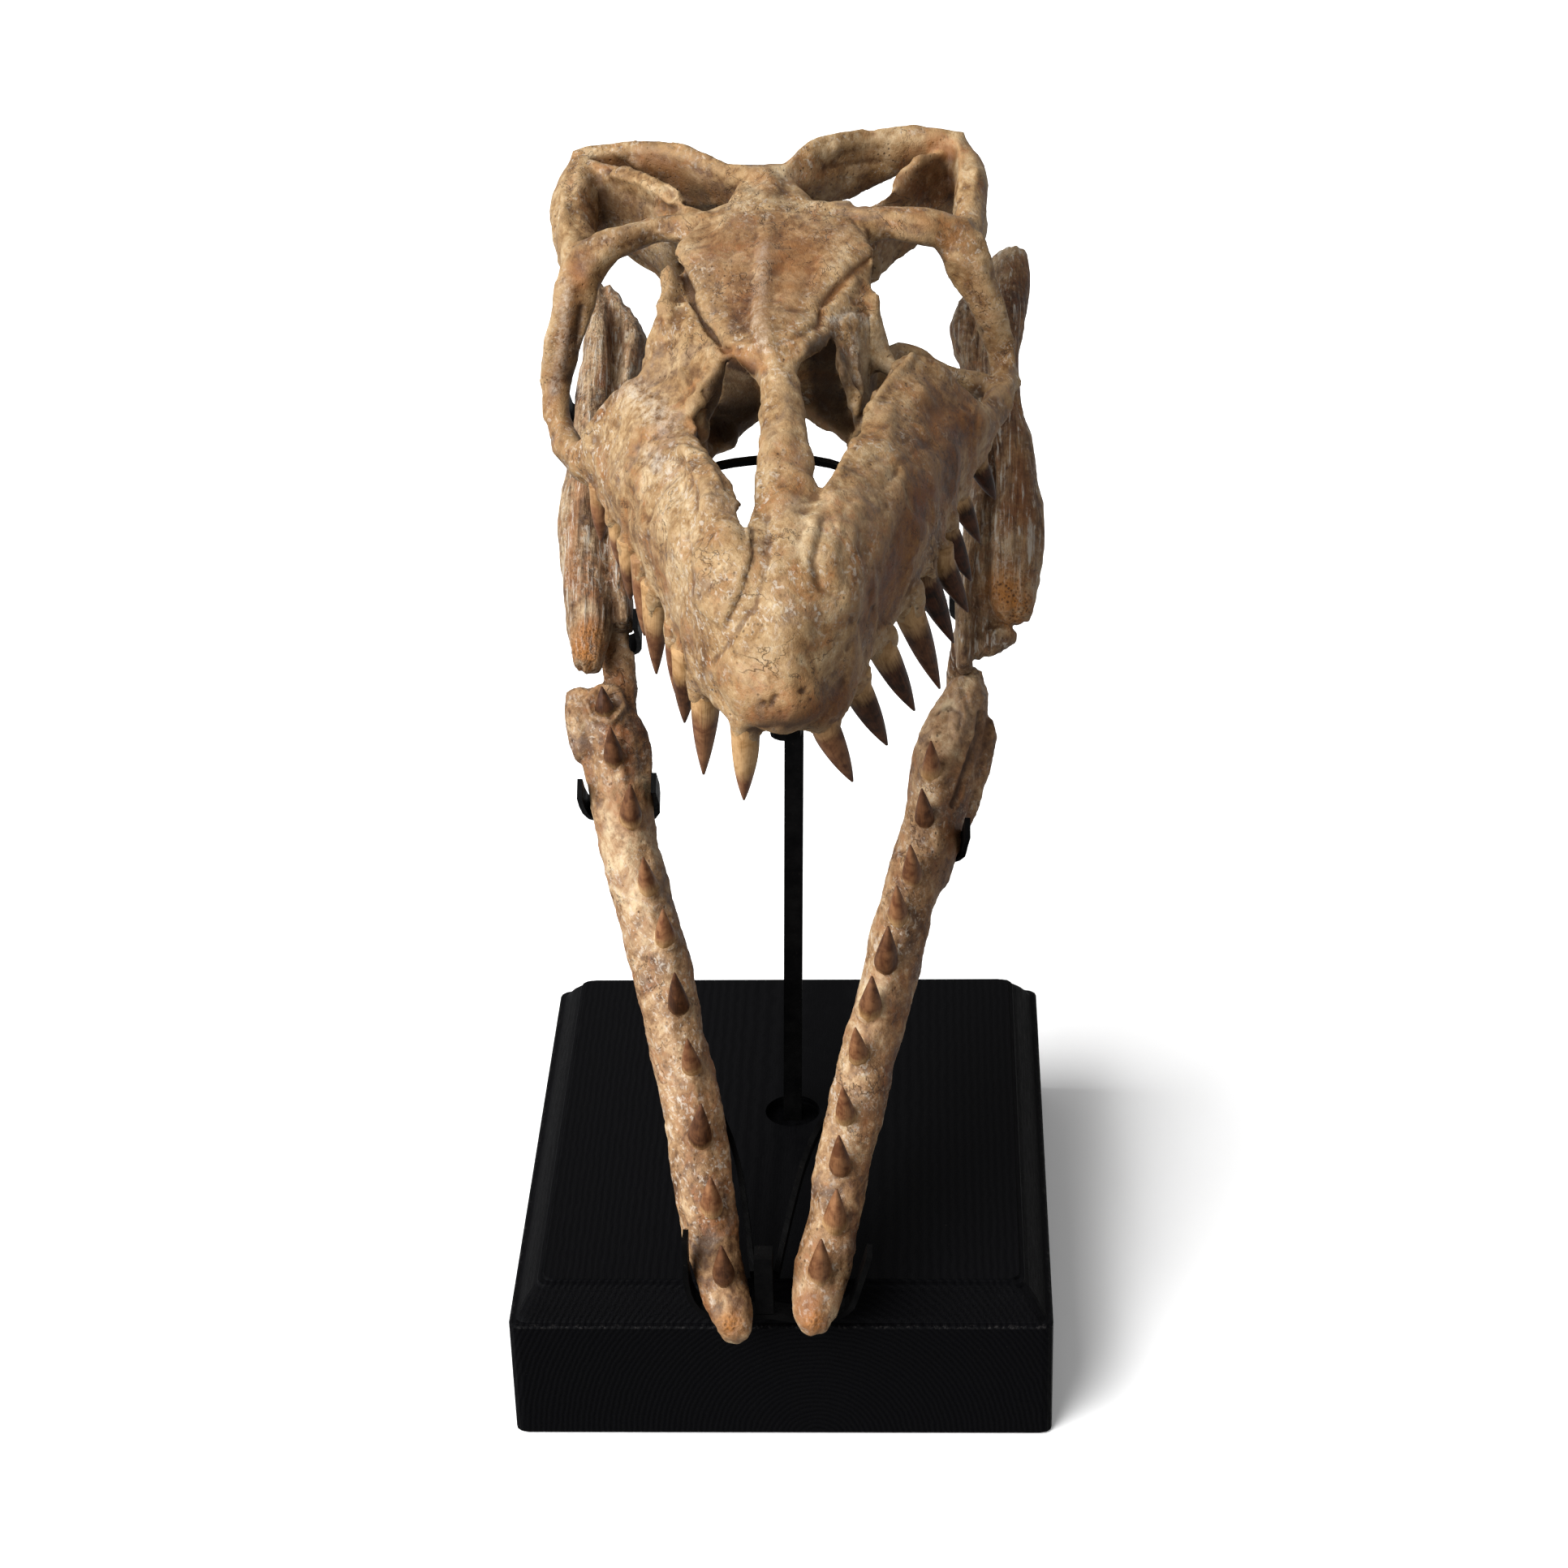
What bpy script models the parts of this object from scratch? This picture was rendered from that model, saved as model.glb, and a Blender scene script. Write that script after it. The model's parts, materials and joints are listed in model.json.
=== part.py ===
# Fossil mosasaur skull with open jaws on a steel armature and a black wooden plinth.
# Metres, +Z up, +Y from the snout to the back of the head.
# The origin is the middle of the plinth's underside.
import math

import bmesh
import bpy
import numpy as np
from mathutils import Matrix, Vector

# Driving dimensions of the plinth
BASE_WIDTH = 0.300
BASE_DEPTH = 0.341
BASE_HEIGHT = 0.0945
CORNER_RADIUS = 0.006
RECESS_RADIUS = 0.016
RECESS_Y = 0.009
RECESS_DEPTH = 0.006

# Driving dimensions of the armature
GAP = 0.0003
POST_SIDE = 0.0105
POST_X = 0.002
POST_Y = 0.013
POST_TOP_X = 0.013
POST_TOP = 0.5107
POST_SOCKET_DEPTH = 0.040
POST_BEND = 0.0985

# Place of the skull: the point below the tip of the snout, level with the tooth row
SKULL_ORIGIN = Vector((0.024, -0.284, 0.490))
SKULL_YAW = math.radians(3.06)
SKULL_ROLL = math.radians(-2.0)

# Line of the lower jaws: the tooth-bearing side starts here and climbs backwards
JAW_START = Vector((0.0, -0.200, 0.100))
JAW_SLOPE = math.atan(0.9)

# Fineness of the bone solids: size of the fusing grid and number of triangles
SKULL_VOXEL = 0.0032
JAW_VOXEL = 0.0026
SKULL_TRIANGLES = 4600
FRONT_JAW_TRIANGLES = 950
REAR_JAW_TRIANGLES = 620
SHARP_ANGLE = math.radians(40)
# How far a limb's rounded end stands out, as a share of its radius, and a plate's edge thickness
END_BULGE = 0.5
PLATE_EDGE_SHARE = 0.55
# Teeth: sections from the root inside the bone to the tip, bend, taper and fullness of the crown
TOOTH_STATIONS = (-0.35, 0.0, 0.35, 0.7, 1.0)
TOOTH_CURVE = 1.5
TOOTH_TAPER = 0.86
TOOTH_FULLNESS = 1.25
MM = 0.001

SKULL_FRAME = (
    Matrix.Translation(SKULL_ORIGIN)
    @ Matrix.Rotation(SKULL_YAW, 4, "Z")
    @ Matrix.Rotation(SKULL_ROLL, 4, "Y")
    @ Matrix.Scale(MM, 4)
)
# Jaw coordinates: x to the side, y along the jaw, z out of its tooth-bearing side
JAW_FRAME = (
    Matrix.Translation(JAW_START)
    @ Matrix.Rotation(JAW_SLOPE, 4, "X")
    @ Matrix.Scale(MM, 4)
)


def clear_scene():
    for old in list(bpy.data.objects):
        bpy.data.objects.remove(old, do_unlink=True)


def material(name, colour, roughness, metallic=0.0):
    made = bpy.data.materials.new(name)
    made.use_nodes = True
    shader = made.node_tree.nodes["Principled BSDF"]
    shader.inputs["Base Color"].default_value = (*colour, 1.0)
    shader.inputs["Roughness"].default_value = roughness
    shader.inputs["Metallic"].default_value = metallic
    return made


def finish(mesh, name, finish_material, smooth=True):
    """Link a mesh as a named object with its own material."""
    made = bpy.data.objects.new(name, mesh)
    bpy.context.scene.collection.objects.link(made)
    mesh.materials.clear()
    mesh.materials.append(finish_material)
    if smooth:
        mesh.shade_smooth()
        mesh.set_sharp_from_angle(angle=SHARP_ANGLE)
    return made


def smooth_rows(rows, count):
    """Catmull-Rom curve through rows of numbers, sampled evenly."""
    rows = np.asarray(rows, dtype=float)
    padded = np.vstack([2 * rows[0] - rows[1], rows, 2 * rows[-1] - rows[-2]])
    samples = []
    for place in np.linspace(0, len(rows) - 1, count):
        i = min(int(place), len(rows) - 2)
        t = place - i
        a, b, c, d = padded[i:i + 4]
        samples.append(0.5 * (2 * b + (c - a) * t + (2 * a - 5 * b + 4 * c - d) * t ** 2
                              + (3 * b - a - 3 * c + d) * t ** 3))
    return np.array(samples)


def close_grid(rings, first=None, last=None):
    """Faces between rings of equal length, closed by a fan or a flat cap at each end."""
    points = [Vector(p) for ring in rings for p in ring]
    n = len(rings[0])
    faces = []
    for r in range(len(rings) - 1):
        for i in range(n):
            j = (i + 1) % n
            faces.append((r * n + i, r * n + j, (r + 1) * n + j, (r + 1) * n + i))
    for tip, ring in ((first, 0), (last, len(rings) - 1)):
        loop = [ring * n + i for i in range(n)]
        if tip is None:
            faces.append(tuple(loop))
        else:
            points.append(Vector(tip))
            faces += [(loop[i], loop[(i + 1) % n], len(points) - 1) for i in range(n)]
    return points, faces


class Bone:
    """Overlapping closed shapes that are fused into one solid."""

    def __init__(self):
        self.mesh = bmesh.new()

    def add(self, points, faces):
        verts = [self.mesh.verts.new(p) for p in points]
        made = [self.mesh.faces.new([verts[i] for i in face]) for face in faces]
        bmesh.ops.recalc_face_normals(self.mesh, faces=made)

    def limb(self, rows, steps=None, sides=12, up=(0, 0, 1)):
        """Tube of elliptical section through rows of x, y, z, half width, half height."""
        rows = smooth_rows(rows, steps or 4 * len(rows))
        centres = rows[:, :3]
        tangents = np.gradient(centres, axis=0)
        rings = []
        for centre, tangent, (wide, high) in zip(centres, tangents, rows[:, 3:]):
            along = Vector(tangent).normalized()
            side = along.cross(Vector(up)).normalized()
            top = side.cross(along)
            ring = []
            for i in range(sides):
                turn = 2 * math.pi * i / sides
                ring.append(Vector(centre) + side * wide * math.cos(turn) + top * high * math.sin(turn))
            rings.append(ring)
        ends = []
        for k, sign in ((0, -1), (-1, 1)):
            along = Vector(tangents[k]).normalized()
            ends.append(Vector(centres[k]) + along * sign * END_BULGE * float(min(rows[k, 3:])))
        self.add(*close_grid(rings, *ends))

    def sheet(self, rows, thickness, across=10, along=14):
        """Curved plate through rows of points, thinner at its edges."""
        grid = np.array([smooth_rows(row, across) for row in rows])
        grid = np.array([smooth_rows(grid[:, k], along) for k in range(across)]).transpose(1, 0, 2)
        du = np.gradient(grid, axis=0)
        dv = np.gradient(grid, axis=1)
        normal = np.cross(du, dv)
        normal /= np.linalg.norm(normal, axis=2, keepdims=True) + 1e-9
        half = np.full(grid.shape[:2], thickness / 2)
        half[[0, -1], :] *= PLATE_EDGE_SHARE
        half[:, [0, -1]] *= PLATE_EDGE_SHARE
        upper = grid + normal * half[..., None]
        lower = grid - normal * half[..., None]
        rings = [np.vstack([upper[k], lower[k][::-1]]) for k in range(along)]
        self.add(*close_grid(rings))

    def tooth(self, base, length, lean, radius, back=0.0):
        """Curved pointed tooth: lean and back are how far its tip stands aside and behind."""
        base = Vector(base)
        rows = []
        for share in TOOTH_STATIONS:
            reach = max(share, 0.0)
            place = base + Vector((lean * reach, back * reach ** TOOTH_CURVE, length * share))
            size = radius * (1.0 - TOOTH_TAPER * reach ** TOOTH_FULLNESS)
            rows.append((*place, size, size))
        self.limb(rows, steps=7, sides=8, up=(0, 1, 0))

    def bend_snout(self):
        for vert in self.mesh.verts:
            share = min(max((BEND_START - vert.co.y) / (BEND_START - BEND_END), 0.0), 1.0)
            vert.co.x -= SNOUT_BEND * share * share * (3 - 2 * share)

    def solid(self, name, frame, voxel, triangles, finish_material):
        """Fuse, smooth and thin out the shapes, and keep the largest body."""
        self.mesh.transform(frame)
        mesh = bpy.data.meshes.new(name)
        self.mesh.to_mesh(mesh)
        self.mesh.free()
        rough = bpy.data.objects.new(name + "_rough", mesh)
        bpy.context.scene.collection.objects.link(rough)
        fuse = rough.modifiers.new("fuse", "REMESH")
        fuse.mode = "VOXEL"
        fuse.voxel_size = voxel
        relax = rough.modifiers.new("relax", "SMOOTH")
        relax.factor = 0.5
        relax.iterations = 2
        fused = evaluated(rough)
        keep_largest(fused)
        rough.modifiers.clear()
        rough.data = fused
        thin = rough.modifiers.new("thin", "DECIMATE")
        thin.ratio = min(1.0, triangles / (2 * len(fused.polygons)))
        thin.use_collapse_triangulate = True
        result = evaluated(rough)
        bpy.data.objects.remove(rough, do_unlink=True)
        result.name = name
        return finish(result, name, finish_material)


def evaluated(source):
    depsgraph = bpy.context.evaluated_depsgraph_get()
    return bpy.data.meshes.new_from_object(source.evaluated_get(depsgraph))


def keep_largest(mesh):
    """Remove loose crumbs beside the main body."""
    work = bmesh.new()
    work.from_mesh(mesh)
    unseen = set(work.verts)
    bodies = []
    while unseen:
        stack = [unseen.pop()]
        body = []
        while stack:
            vert = stack.pop()
            body.append(vert)
            for edge in vert.link_edges:
                other = edge.other_vert(vert)
                if other in unseen:
                    unseen.discard(other)
                    stack.append(other)
        bodies.append(body)
    bodies.sort(key=len)
    for body in bodies[:-1]:
        bmesh.ops.delete(work, geom=body, context="VERTS")
    work.to_mesh(mesh)
    work.free()


def mirrored(rows):
    return [(-row[0], *row[1:]) for row in rows]


# Skull, in millimetres: x to the side, y back from the snout, z above the tooth row
SNOUT = [(0, 9, 21, 12, 12), (0, 20, 28, 23, 22), (0, 42, 37, 29, 30), (0, 70, 45, 33, 35),
         (0, 94, 50, 37, 33)]
NASAL_BAR = [(4, 85, 70, 18, 14), (4, 115, 77, 16, 10), (2.5, 145, 80, 15.5, 9), (1, 195, 84, 13, 9),
             (0, 240, 88, 12, 8), (0, 265, 91, 12, 8), (0, 320, 97, 9, 7), (0, 385, 103, 5, 5)]
MAXILLA = [
    [(8, 38, 62), (20, 38, 58), (28, 40, 38), (28, 42, 13)],
    [(12, 64, 76), (27, 66, 70), (36, 68, 43), (37, 70, 15)],
    [(16, 92, 82), (34, 94, 72), (43, 96, 47), (44, 98, 17)],
    [(22, 128, 80), (43, 130, 71), (54, 131, 48), (55, 134, 17)],
    [(30, 170, 76), (50, 172, 69), (65, 175, 48), (66, 176, 17)],
    [(39, 215, 71), (60, 218, 65), (76, 221, 44), (78, 222, 15)],
    [(46, 255, 69), (68, 258, 62), (86, 262, 40), (88, 262, 14)],
    [(56, 292, 71), (78, 300, 60), (96, 305, 36), (100, 305, 12)],
    [(70, 318, 68), (88, 326, 52), (104, 334, 30), (110, 334, 9)],
]
TOOTH_RIDGE = [(13, 19, 14, 8, 8), (24, 38, 15, 7.5, 8), (34, 66, 16, 7, 7.5), (44, 100, 16, 6.5, 7.5),
               (54, 138, 16, 6.5, 7.5), (65, 178, 16, 6.5, 7.5), (78, 230, 15, 6.5, 7.5),
               (92, 282, 13, 6.5, 8), (106, 325, 10, 7, 8)]
LEFT_CHEEK_BAR = [(-98, 300, 26, 8, 14), (-111, 335, 12, 8, 11), (-121, 372, 9, 8, 10),
                  (-127, 402, 13, 8.5, 10)]
RIGHT_CHEEK_BAR = [(98, 300, 32, 8, 12), (111, 335, 22, 8, 10), (121, 372, 17, 8, 9),
                   (127, 402, 17, 8.5, 9)]
EYE_REAR_BAR = [(128, 398, 10, 9, 7), (124.5, 410, 30, 9.5, 7.5), (118.5, 410, 52, 10.5, 8),
                (112, 416, 72, 12.5, 10), (105, 426, 90, 13.5, 11)]
LEFT_BROW_BAR = [(-30, 436, 100, 20, 9), (-48, 446, 101, 15, 8), (-67, 447, 100, 12, 8),
                 (-86, 436, 98, 12, 9), (-107, 428, 91, 15, 11)]
RIGHT_BROW_BAR = [(34, 424, 100, 24, 8), (58, 433, 101, 19, 8), (84, 429, 99, 15, 9),
                  (107, 430, 91, 15, 11)]
ORBIT_FLOOR = [(58, 342, 58, 7, 6), (67, 360, 54, 7, 6), (77, 371, 44, 8, 6), (94, 380, 29, 8, 6),
               (112, 391, 18, 9, 7)]
TEMPLE_WALL = [(105, 412, 78, 9, 14), (112, 455, 82, 8, 18), (118, 495, 87, 7, 20),
               (117, 530, 90, 8, 20), (109, 551, 93, 9, 20)]
LEFT_REAR_ARM = [(-6, 488, 102, 9, 12), (-30, 517, 96, 7, 22), (-56, 541, 98, 6, 23),
                 (-82, 553, 101, 6, 17), (-110, 553, 94, 9, 20)]
RIGHT_REAR_ARM = [(6, 488, 103, 9, 13), (28, 522, 100, 8, 22), (54, 543, 99, 6, 21),
                  (80, 549, 102, 6, 16), (112, 547, 94, 9, 20)]
LEFT_EAR_ARM = [(-108, 544, 80, 5, 17), (-80, 508, 81, 5, 22), (-56, 468, 84, 5, 26), (-33, 438, 85, 8, 27)]
RIGHT_EAR_ARM = [(108, 544, 78, 5, 18), (82, 512, 78, 5, 23), (56, 468, 76, 5, 24), (33, 440, 84, 8, 28)]
CROWN = [(0, 385, 97, 46, 7), (0, 415, 100, 46, 8), (0, 440, 102, 38, 9), (0, 462, 103, 28, 10),
         (0, 488, 103, 20, 12), (0, 516, 102, 15, 10)]
CROWN_KNOB = [(0, 452, 108, 9, 6), (0, 464, 111, 8, 6), (0, 474, 109, 6, 5)]
FRONTAL = [
    [(-14, 258, 94), (0, 258, 97), (14, 258, 94)],
    [(-29, 285, 94), (0, 285, 99), (27, 285, 94)],
    [(-41, 325, 97), (0, 325, 101), (38, 325, 97)],
    [(-46, 362, 101), (0, 362, 104), (47, 362, 101)],
    [(-54, 402, 103), (0, 405, 106), (55, 400, 103)],
    [(-48, 432, 103), (0, 436, 107), (48, 430, 103)],
    [(-34, 460, 103), (0, 464, 108), (34, 460, 103)],
]
LEFT_BROW = [
    [(-47, 380, 99), (-55, 370, 92), (-61, 356, 80)],
    [(-42, 342, 97), (-56, 335, 86), (-70, 327, 70)],
    [(-34, 302, 93), (-55, 301, 80), (-77, 300, 62)],
    [(-27, 272, 91), (-47, 268, 76), (-68, 275, 62)],
    [(-40, 250, 78), (-50, 252, 70), (-66, 262, 62)],
]
RIGHT_BROW = [
    [(50, 376, 99), (50, 366, 92), (50, 354, 80)],
    [(49, 345, 94), (51, 340, 82), (55, 336, 67)],
    [(47, 316, 66), (56, 312, 61), (68, 306, 57)],
]
EYE_WALL = [
    [(31, 264, 84), (40, 268, 52), (42, 282, 20)],
    [(34, 302, 93), (44, 304, 56), (46, 312, 22)],
    [(42, 346, 99), (47, 348, 62), (46, 352, 26)],
]
BROW_STRUT = [(50, 345, 93, 8, 7), (46, 333, 76, 7, 7), (43, 328, 55, 6, 7), (41, 326, 36, 5, 6)]
CORE = [(0, 374, 76, 24, 20), (0, 396, 74, 32, 25), (0, 425, 74, 28, 27), (0, 460, 72, 26, 30),
        (0, 495, 66, 20, 24), (0, 522, 58, 12, 14)]
PALATE = [
    [(-2, 360, 31), (20, 327, 27), (40, 300, 23), (66, 284, 20)],
    [(-2, 398, 36), (24, 376, 32), (46, 348, 28), (76, 314, 24)],
    [(-2, 438, 42), (26, 428, 38), (44, 404, 36), (62, 372, 34)],
]
PALATE_EDGE = [(58, 306, 20, 10, 7), (80, 292, 18, 10, 8), (98, 288, 16, 8, 8)]
PALATE_REAR = [(18, 425, 38, 14, 7), (34, 466, 44, 12, 8), (60, 505, 56, 7, 12), (86, 532, 68, 6, 14)]
PALATE_STEM = [(0, 405, 38, 12, 9), (0, 440, 46, 20, 16), (0, 480, 52, 18, 16)]

# Upper teeth: distance back, distance out, length, outward lean, root radius
LEFT_UPPER_TEETH = [(26, 18, 36, 3, 7), (71, 37, 46, 4, 7.5), (103, 48, 34, 3, 7), (131, 54, 34, 3, 6.5),
                    (172, 68, 42, 3, 7), (206, 75, 37, 3, 6.5), (232, 83, 29, 2, 6), (270, 89.5, 27, 2, 6),
                    (303, 100, 28, 2, 6)]
RIGHT_UPPER_TEETH = [(30, 20, 32, 11, 7), (69, 36, 35, 13, 7.5), (106, 48.5, 37, 14, 7.5),
                     (148, 60, 48, 14, 8), (182, 67.5, 40, 14, 7.5), (200, 77, 32, 13, 7),
                     (236, 82, 32, 12, 7), (277, 90.5, 30, 11, 6.5), (317, 104, 24, 9, 6)]
UPPER_ROOT_HEIGHT = 4
UPPER_TOOTH_HOOK = 5
# The front of the snout bends to the left by this much, from here to here
SNOUT_BEND = 7
BEND_START, BEND_END = 200, 60


def build_skull(bone_material):
    bone = Bone()
    bone.limb(SNOUT, sides=20)
    bone.limb(NASAL_BAR, steps=36, sides=14)
    for rows in (LEFT_REAR_ARM, RIGHT_REAR_ARM, LEFT_EAR_ARM, RIGHT_EAR_ARM, LEFT_BROW_BAR, RIGHT_BROW_BAR,
                 LEFT_CHEEK_BAR, RIGHT_CHEEK_BAR, ORBIT_FLOOR):
        bone.limb(rows, steps=18)
    for rows in (TOOTH_RIDGE, EYE_REAR_BAR, TEMPLE_WALL, PALATE_EDGE, PALATE_REAR):
        up = (0, -1, 0) if rows is EYE_REAR_BAR else (0, 0, 1)
        bone.limb(rows, steps=18, up=up)
        bone.limb(mirrored(rows), steps=18, up=up)
    for rows, thickness in ((MAXILLA, 12), (PALATE, 9), (EYE_WALL, 8)):
        bone.sheet(rows, thickness, along=24)
        bone.sheet([mirrored(row) for row in rows], thickness, along=24)
    bone.limb(CROWN, steps=24, sides=16)
    bone.limb(CROWN_KNOB, steps=8)
    bone.limb(CORE, steps=20, sides=14)
    bone.limb(PALATE_STEM, steps=12)
    bone.sheet(FRONTAL, 9, across=12, along=20)
    bone.sheet(LEFT_BROW, 9)
    bone.sheet(RIGHT_BROW, 9)
    bone.limb(BROW_STRUT, up=(0, -1, 0))
    for side, teeth in ((-1, LEFT_UPPER_TEETH), (1, RIGHT_UPPER_TEETH)):
        for back, out, length, lean, radius in teeth:
            root = (side * out, back, UPPER_ROOT_HEIGHT)
            bone.tooth(root, -length, side * lean, radius, back=UPPER_TOOTH_HOOK)
    bone.bend_snout()
    return bone.solid("skull", SKULL_FRAME, SKULL_VOXEL, SKULL_TRIANGLES, bone_material)


# Front jaws, in millimetres along the jaw: x, y, depth of the centre, half width, half depth
LEFT_FRONT_JAW = [(-22, -6, -9, 7, 7), (-25, 8, -9.5, 12, 9.5), (-32, 30, -11, 14, 11),
                  (-38, 60, -13, 16, 13), (-45, 105, -16, 16.5, 16), (-56, 155, -18, 16.5, 18),
                  (-66.5, 200, -19, 16.5, 19), (-78, 243, -20, 16.5, 20), (-90.5, 290, -21, 17.5, 21),
                  (-96, 335, -22, 20, 22), (-104, 352, -23, 20, 23), (-105, 366, -24, 18, 20)]
RIGHT_FRONT_JAW = [(18, -1, -10, 8, 8), (19, 10, -11, 13, 10.5), (24, 32, -12, 15, 12),
                   (30, 60, -13.5, 14.5, 13.5), (38, 105, -16, 16, 16), (48, 150, -18, 16, 18),
                   (60, 195, -19, 15.5, 19), (70, 240, -20, 16, 20), (85, 290, -21, 17, 21),
                   (95, 335, -22, 19, 22), (104, 362, -23, 14, 20), (106, 374, -23, 11, 14)]
LEFT_JAW_CORNER = [(-110, 330, -18, 9, 12), (-115, 350, -16, 11, 12), (-117, 368, -15, 8, 8)]
LEFT_JAW_PLATE = [(-90, 330, -18, 8, 16), (-94, 365, -20, 9, 11), (-94, 394, -22, 8, 7.5)]
RIGHT_JAW_SLIVER = [(96, 288, -30, 4, 7), (112, 325, -30, 6, 9), (121, 346, -29, 4, 7)]
# Lower teeth: distance along, place across, length
LEFT_LOWER_TEETH = [(27, -29, 22), (64, -36, 22), (103, -43, 22), (143, -48, 20), (178, -56, 26),
                    (216, -64, 20), (246, -74, 24), (287, -85, 22), (323, -95, 22), (352, -101, 10)]
RIGHT_LOWER_TEETH = [(28, 23, 26), (56, 31, 22), (87, 34, 24), (115, 37, 22), (149, 44, 21),
                     (175, 50, 21), (202, 59, 26), (228, 66, 24), (252, 74, 24), (286, 81, 22),
                     (313, 85, 22)]
LOWER_ROOT_HEIGHT = -1
LOWER_TOOTH_RADIUS = 6.5
LOWER_TOOTH_LEAN = 12


def build_front_jaw(name, rows, teeth, extra, bone_material):
    bone = Bone()
    bone.limb(rows, steps=40, sides=12)
    for more in extra:
        bone.limb(more)
    for along, across, length in teeth:
        root = (across, along, LOWER_ROOT_HEIGHT)
        bone.tooth(root, length, 0, LOWER_TOOTH_RADIUS, back=LOWER_TOOTH_LEAN)
    return bone.solid(name, JAW_FRAME, JAW_VOXEL, FRONT_JAW_TRIANGLES, bone_material)


# Rear jaws: a splintered outer bone and a thin inner plate that climb to the jaw joint
LEFT_REAR_OUTER = [(-111, 378, 1, 8, 9), (-111, 395, 0, 12, 13), (-112, 430, -2, 15, 16),
                   (-118, 470, -4, 14, 18), (-115, 510, -6, 11, 19), (-112, 550, -10, 11, 20),
                   (-111, 590, -16, 9, 18), (-113, 616, -22, 8, 12), (-116, 632, -26, 6, 8)]
LEFT_REAR_INNER = [(-92, 405, -8, 5.5, 14), (-93, 420, -8, 6, 18), (-96, 440, -8, 6, 20),
                   (-98, 500, -12, 6, 20), (-94, 560, -16, 7, 18), (-91, 590, -18, 7, 15),
                   (-100, 612, -22, 6, 10)]
RIGHT_REAR_OUTER = [(131, 408, -2, 10, 11), (132, 425, -2, 14, 15), (135, 460, -4, 16, 18),
                    (134, 500, -6, 13, 19), (128, 540, -8, 12, 20), (126, 580, -12, 13, 20),
                    (132, 614, -18, 12, 17), (134, 634, -20, 11, 14),
                    (135, 648, -22, 9, 9)]
RIGHT_REAR_INNER = [(104, 378, -8, 4, 12), (104, 410, -8, 5, 17), (108, 450, -10, 5, 20),
                    (115, 500, -12, 6, 20), (117, 550, -16, 6, 18), (106, 596, -20, 9, 14),
                    (112, 618, -24, 8, 11)]
RIGHT_REAR_FLANGE = [(106, 390, -10, 6, 6), (120, 396, -10, 8, 6), (132, 400, -10, 5, 5)]


def build_rear_jaw(name, shapes, bone_material):
    bone = Bone()
    for rows in shapes:
        bone.limb(rows, steps=26)
    return bone.solid(name, JAW_FRAME, JAW_VOXEL, REAR_JAW_TRIANGLES, bone_material)


# Plinth outline from the underside up: inset and height in millimetres
PLINTH_STEPS = [(1.5, 0), (0, 1.5), (0, 74), (1, 75), (3.5, 75.6), (5, 78), (9, 84), (13, 88.5),
                (15, 90), (15.6, 92.4), (18, 92.8), (18.5, 94.5)]
CORNER_POINTS = 4
CUTTER_OVERRUN = 0.010


def rounded_ring(inset, height, radius):
    half_x = BASE_WIDTH / 2 - inset
    half_y = BASE_DEPTH / 2 - inset
    ring = []
    for corner in range(4):
        cx = (half_x - radius) * (1 if corner in (0, 3) else -1)
        cy = (half_y - radius) * (1 if corner in (0, 1) else -1)
        for k in range(CORNER_POINTS):
            turn = math.pi / 2 * (corner + k / (CORNER_POINTS - 1))
            ring.append((cx + radius * math.cos(turn), cy + radius * math.sin(turn), height))
    return ring


def add_mesh(name, points, faces):
    work = bmesh.new()
    verts = [work.verts.new(p) for p in points]
    for face in faces:
        work.faces.new([verts[i] for i in face])
    bmesh.ops.recalc_face_normals(work, faces=work.faces)
    mesh = bpy.data.meshes.new(name)
    work.to_mesh(mesh)
    work.free()
    return mesh


def cutter(name, mesh):
    made = bpy.data.objects.new(name, mesh)
    bpy.context.scene.collection.objects.link(made)
    made.hide_render = True
    made.display_type = "WIRE"
    return made


def disc_ring(centre, radius, height, count=28):
    turns = [2 * math.pi * i / count for i in range(count)]
    return [(centre[0] + radius * math.cos(t), centre[1] + radius * math.sin(t), height) for t in turns]


def square_ring(centre, half, height):
    corners = ((-1, -1), (1, -1), (1, 1), (-1, 1))
    return [(centre[0] + half * a, centre[1] + half * b, height) for a, b in corners]


def build_base(wood):
    rings = [rounded_ring(i * MM, z * MM, CORNER_RADIUS) for i, z in PLINTH_STEPS]
    base = finish(add_mesh("wooden_base", *close_grid(rings)), "wooden_base", wood)
    above = BASE_HEIGHT + CUTTER_OVERRUN
    floor = BASE_HEIGHT - RECESS_DEPTH
    recess = [disc_ring((POST_X, RECESS_Y), RECESS_RADIUS, z) for z in (floor, above)]
    socket_floor = floor - POST_SOCKET_DEPTH
    half = POST_SIDE / 2 + GAP
    socket = [square_ring((POST_X, POST_Y), half, z) for z in (socket_floor, above)]
    for name, rings in (("recess_cut", recess), ("socket_cut", socket)):
        cut = base.modifiers.new(name, "BOOLEAN")
        cut.operation = "DIFFERENCE"
        cut.object = cutter(name, add_mesh(name, *close_grid(rings)))
    return base


def bar(name, route, wide, thick, steel, steps=None, up=(0, 0, 1)):
    """Flat bar that follows a route of points in metres."""
    points = [Vector(p) for p in (smooth_rows(route, steps) if steps else route)]
    outline = [(a * wide / 2, b * thick / 2) for a, b in ((1, 1), (-1, 1), (-1, -1), (1, -1))]
    rings = []
    for i, point in enumerate(points):
        before = (point - points[i - 1]).normalized() if i else None
        after = (points[i + 1] - point).normalized() if i < len(points) - 1 else None
        along = ((before or after) + (after or before)).normalized()
        side = along.cross(Vector(up)).normalized()
        top = side.cross(along)
        mitre = 1 / max(0.5, along.dot(after or before))
        rings.append([point + side * a + top * b * mitre for a, b in outline])
    return finish(add_mesh(name, *close_grid(rings)), name, steel, smooth=bool(steps))


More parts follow.
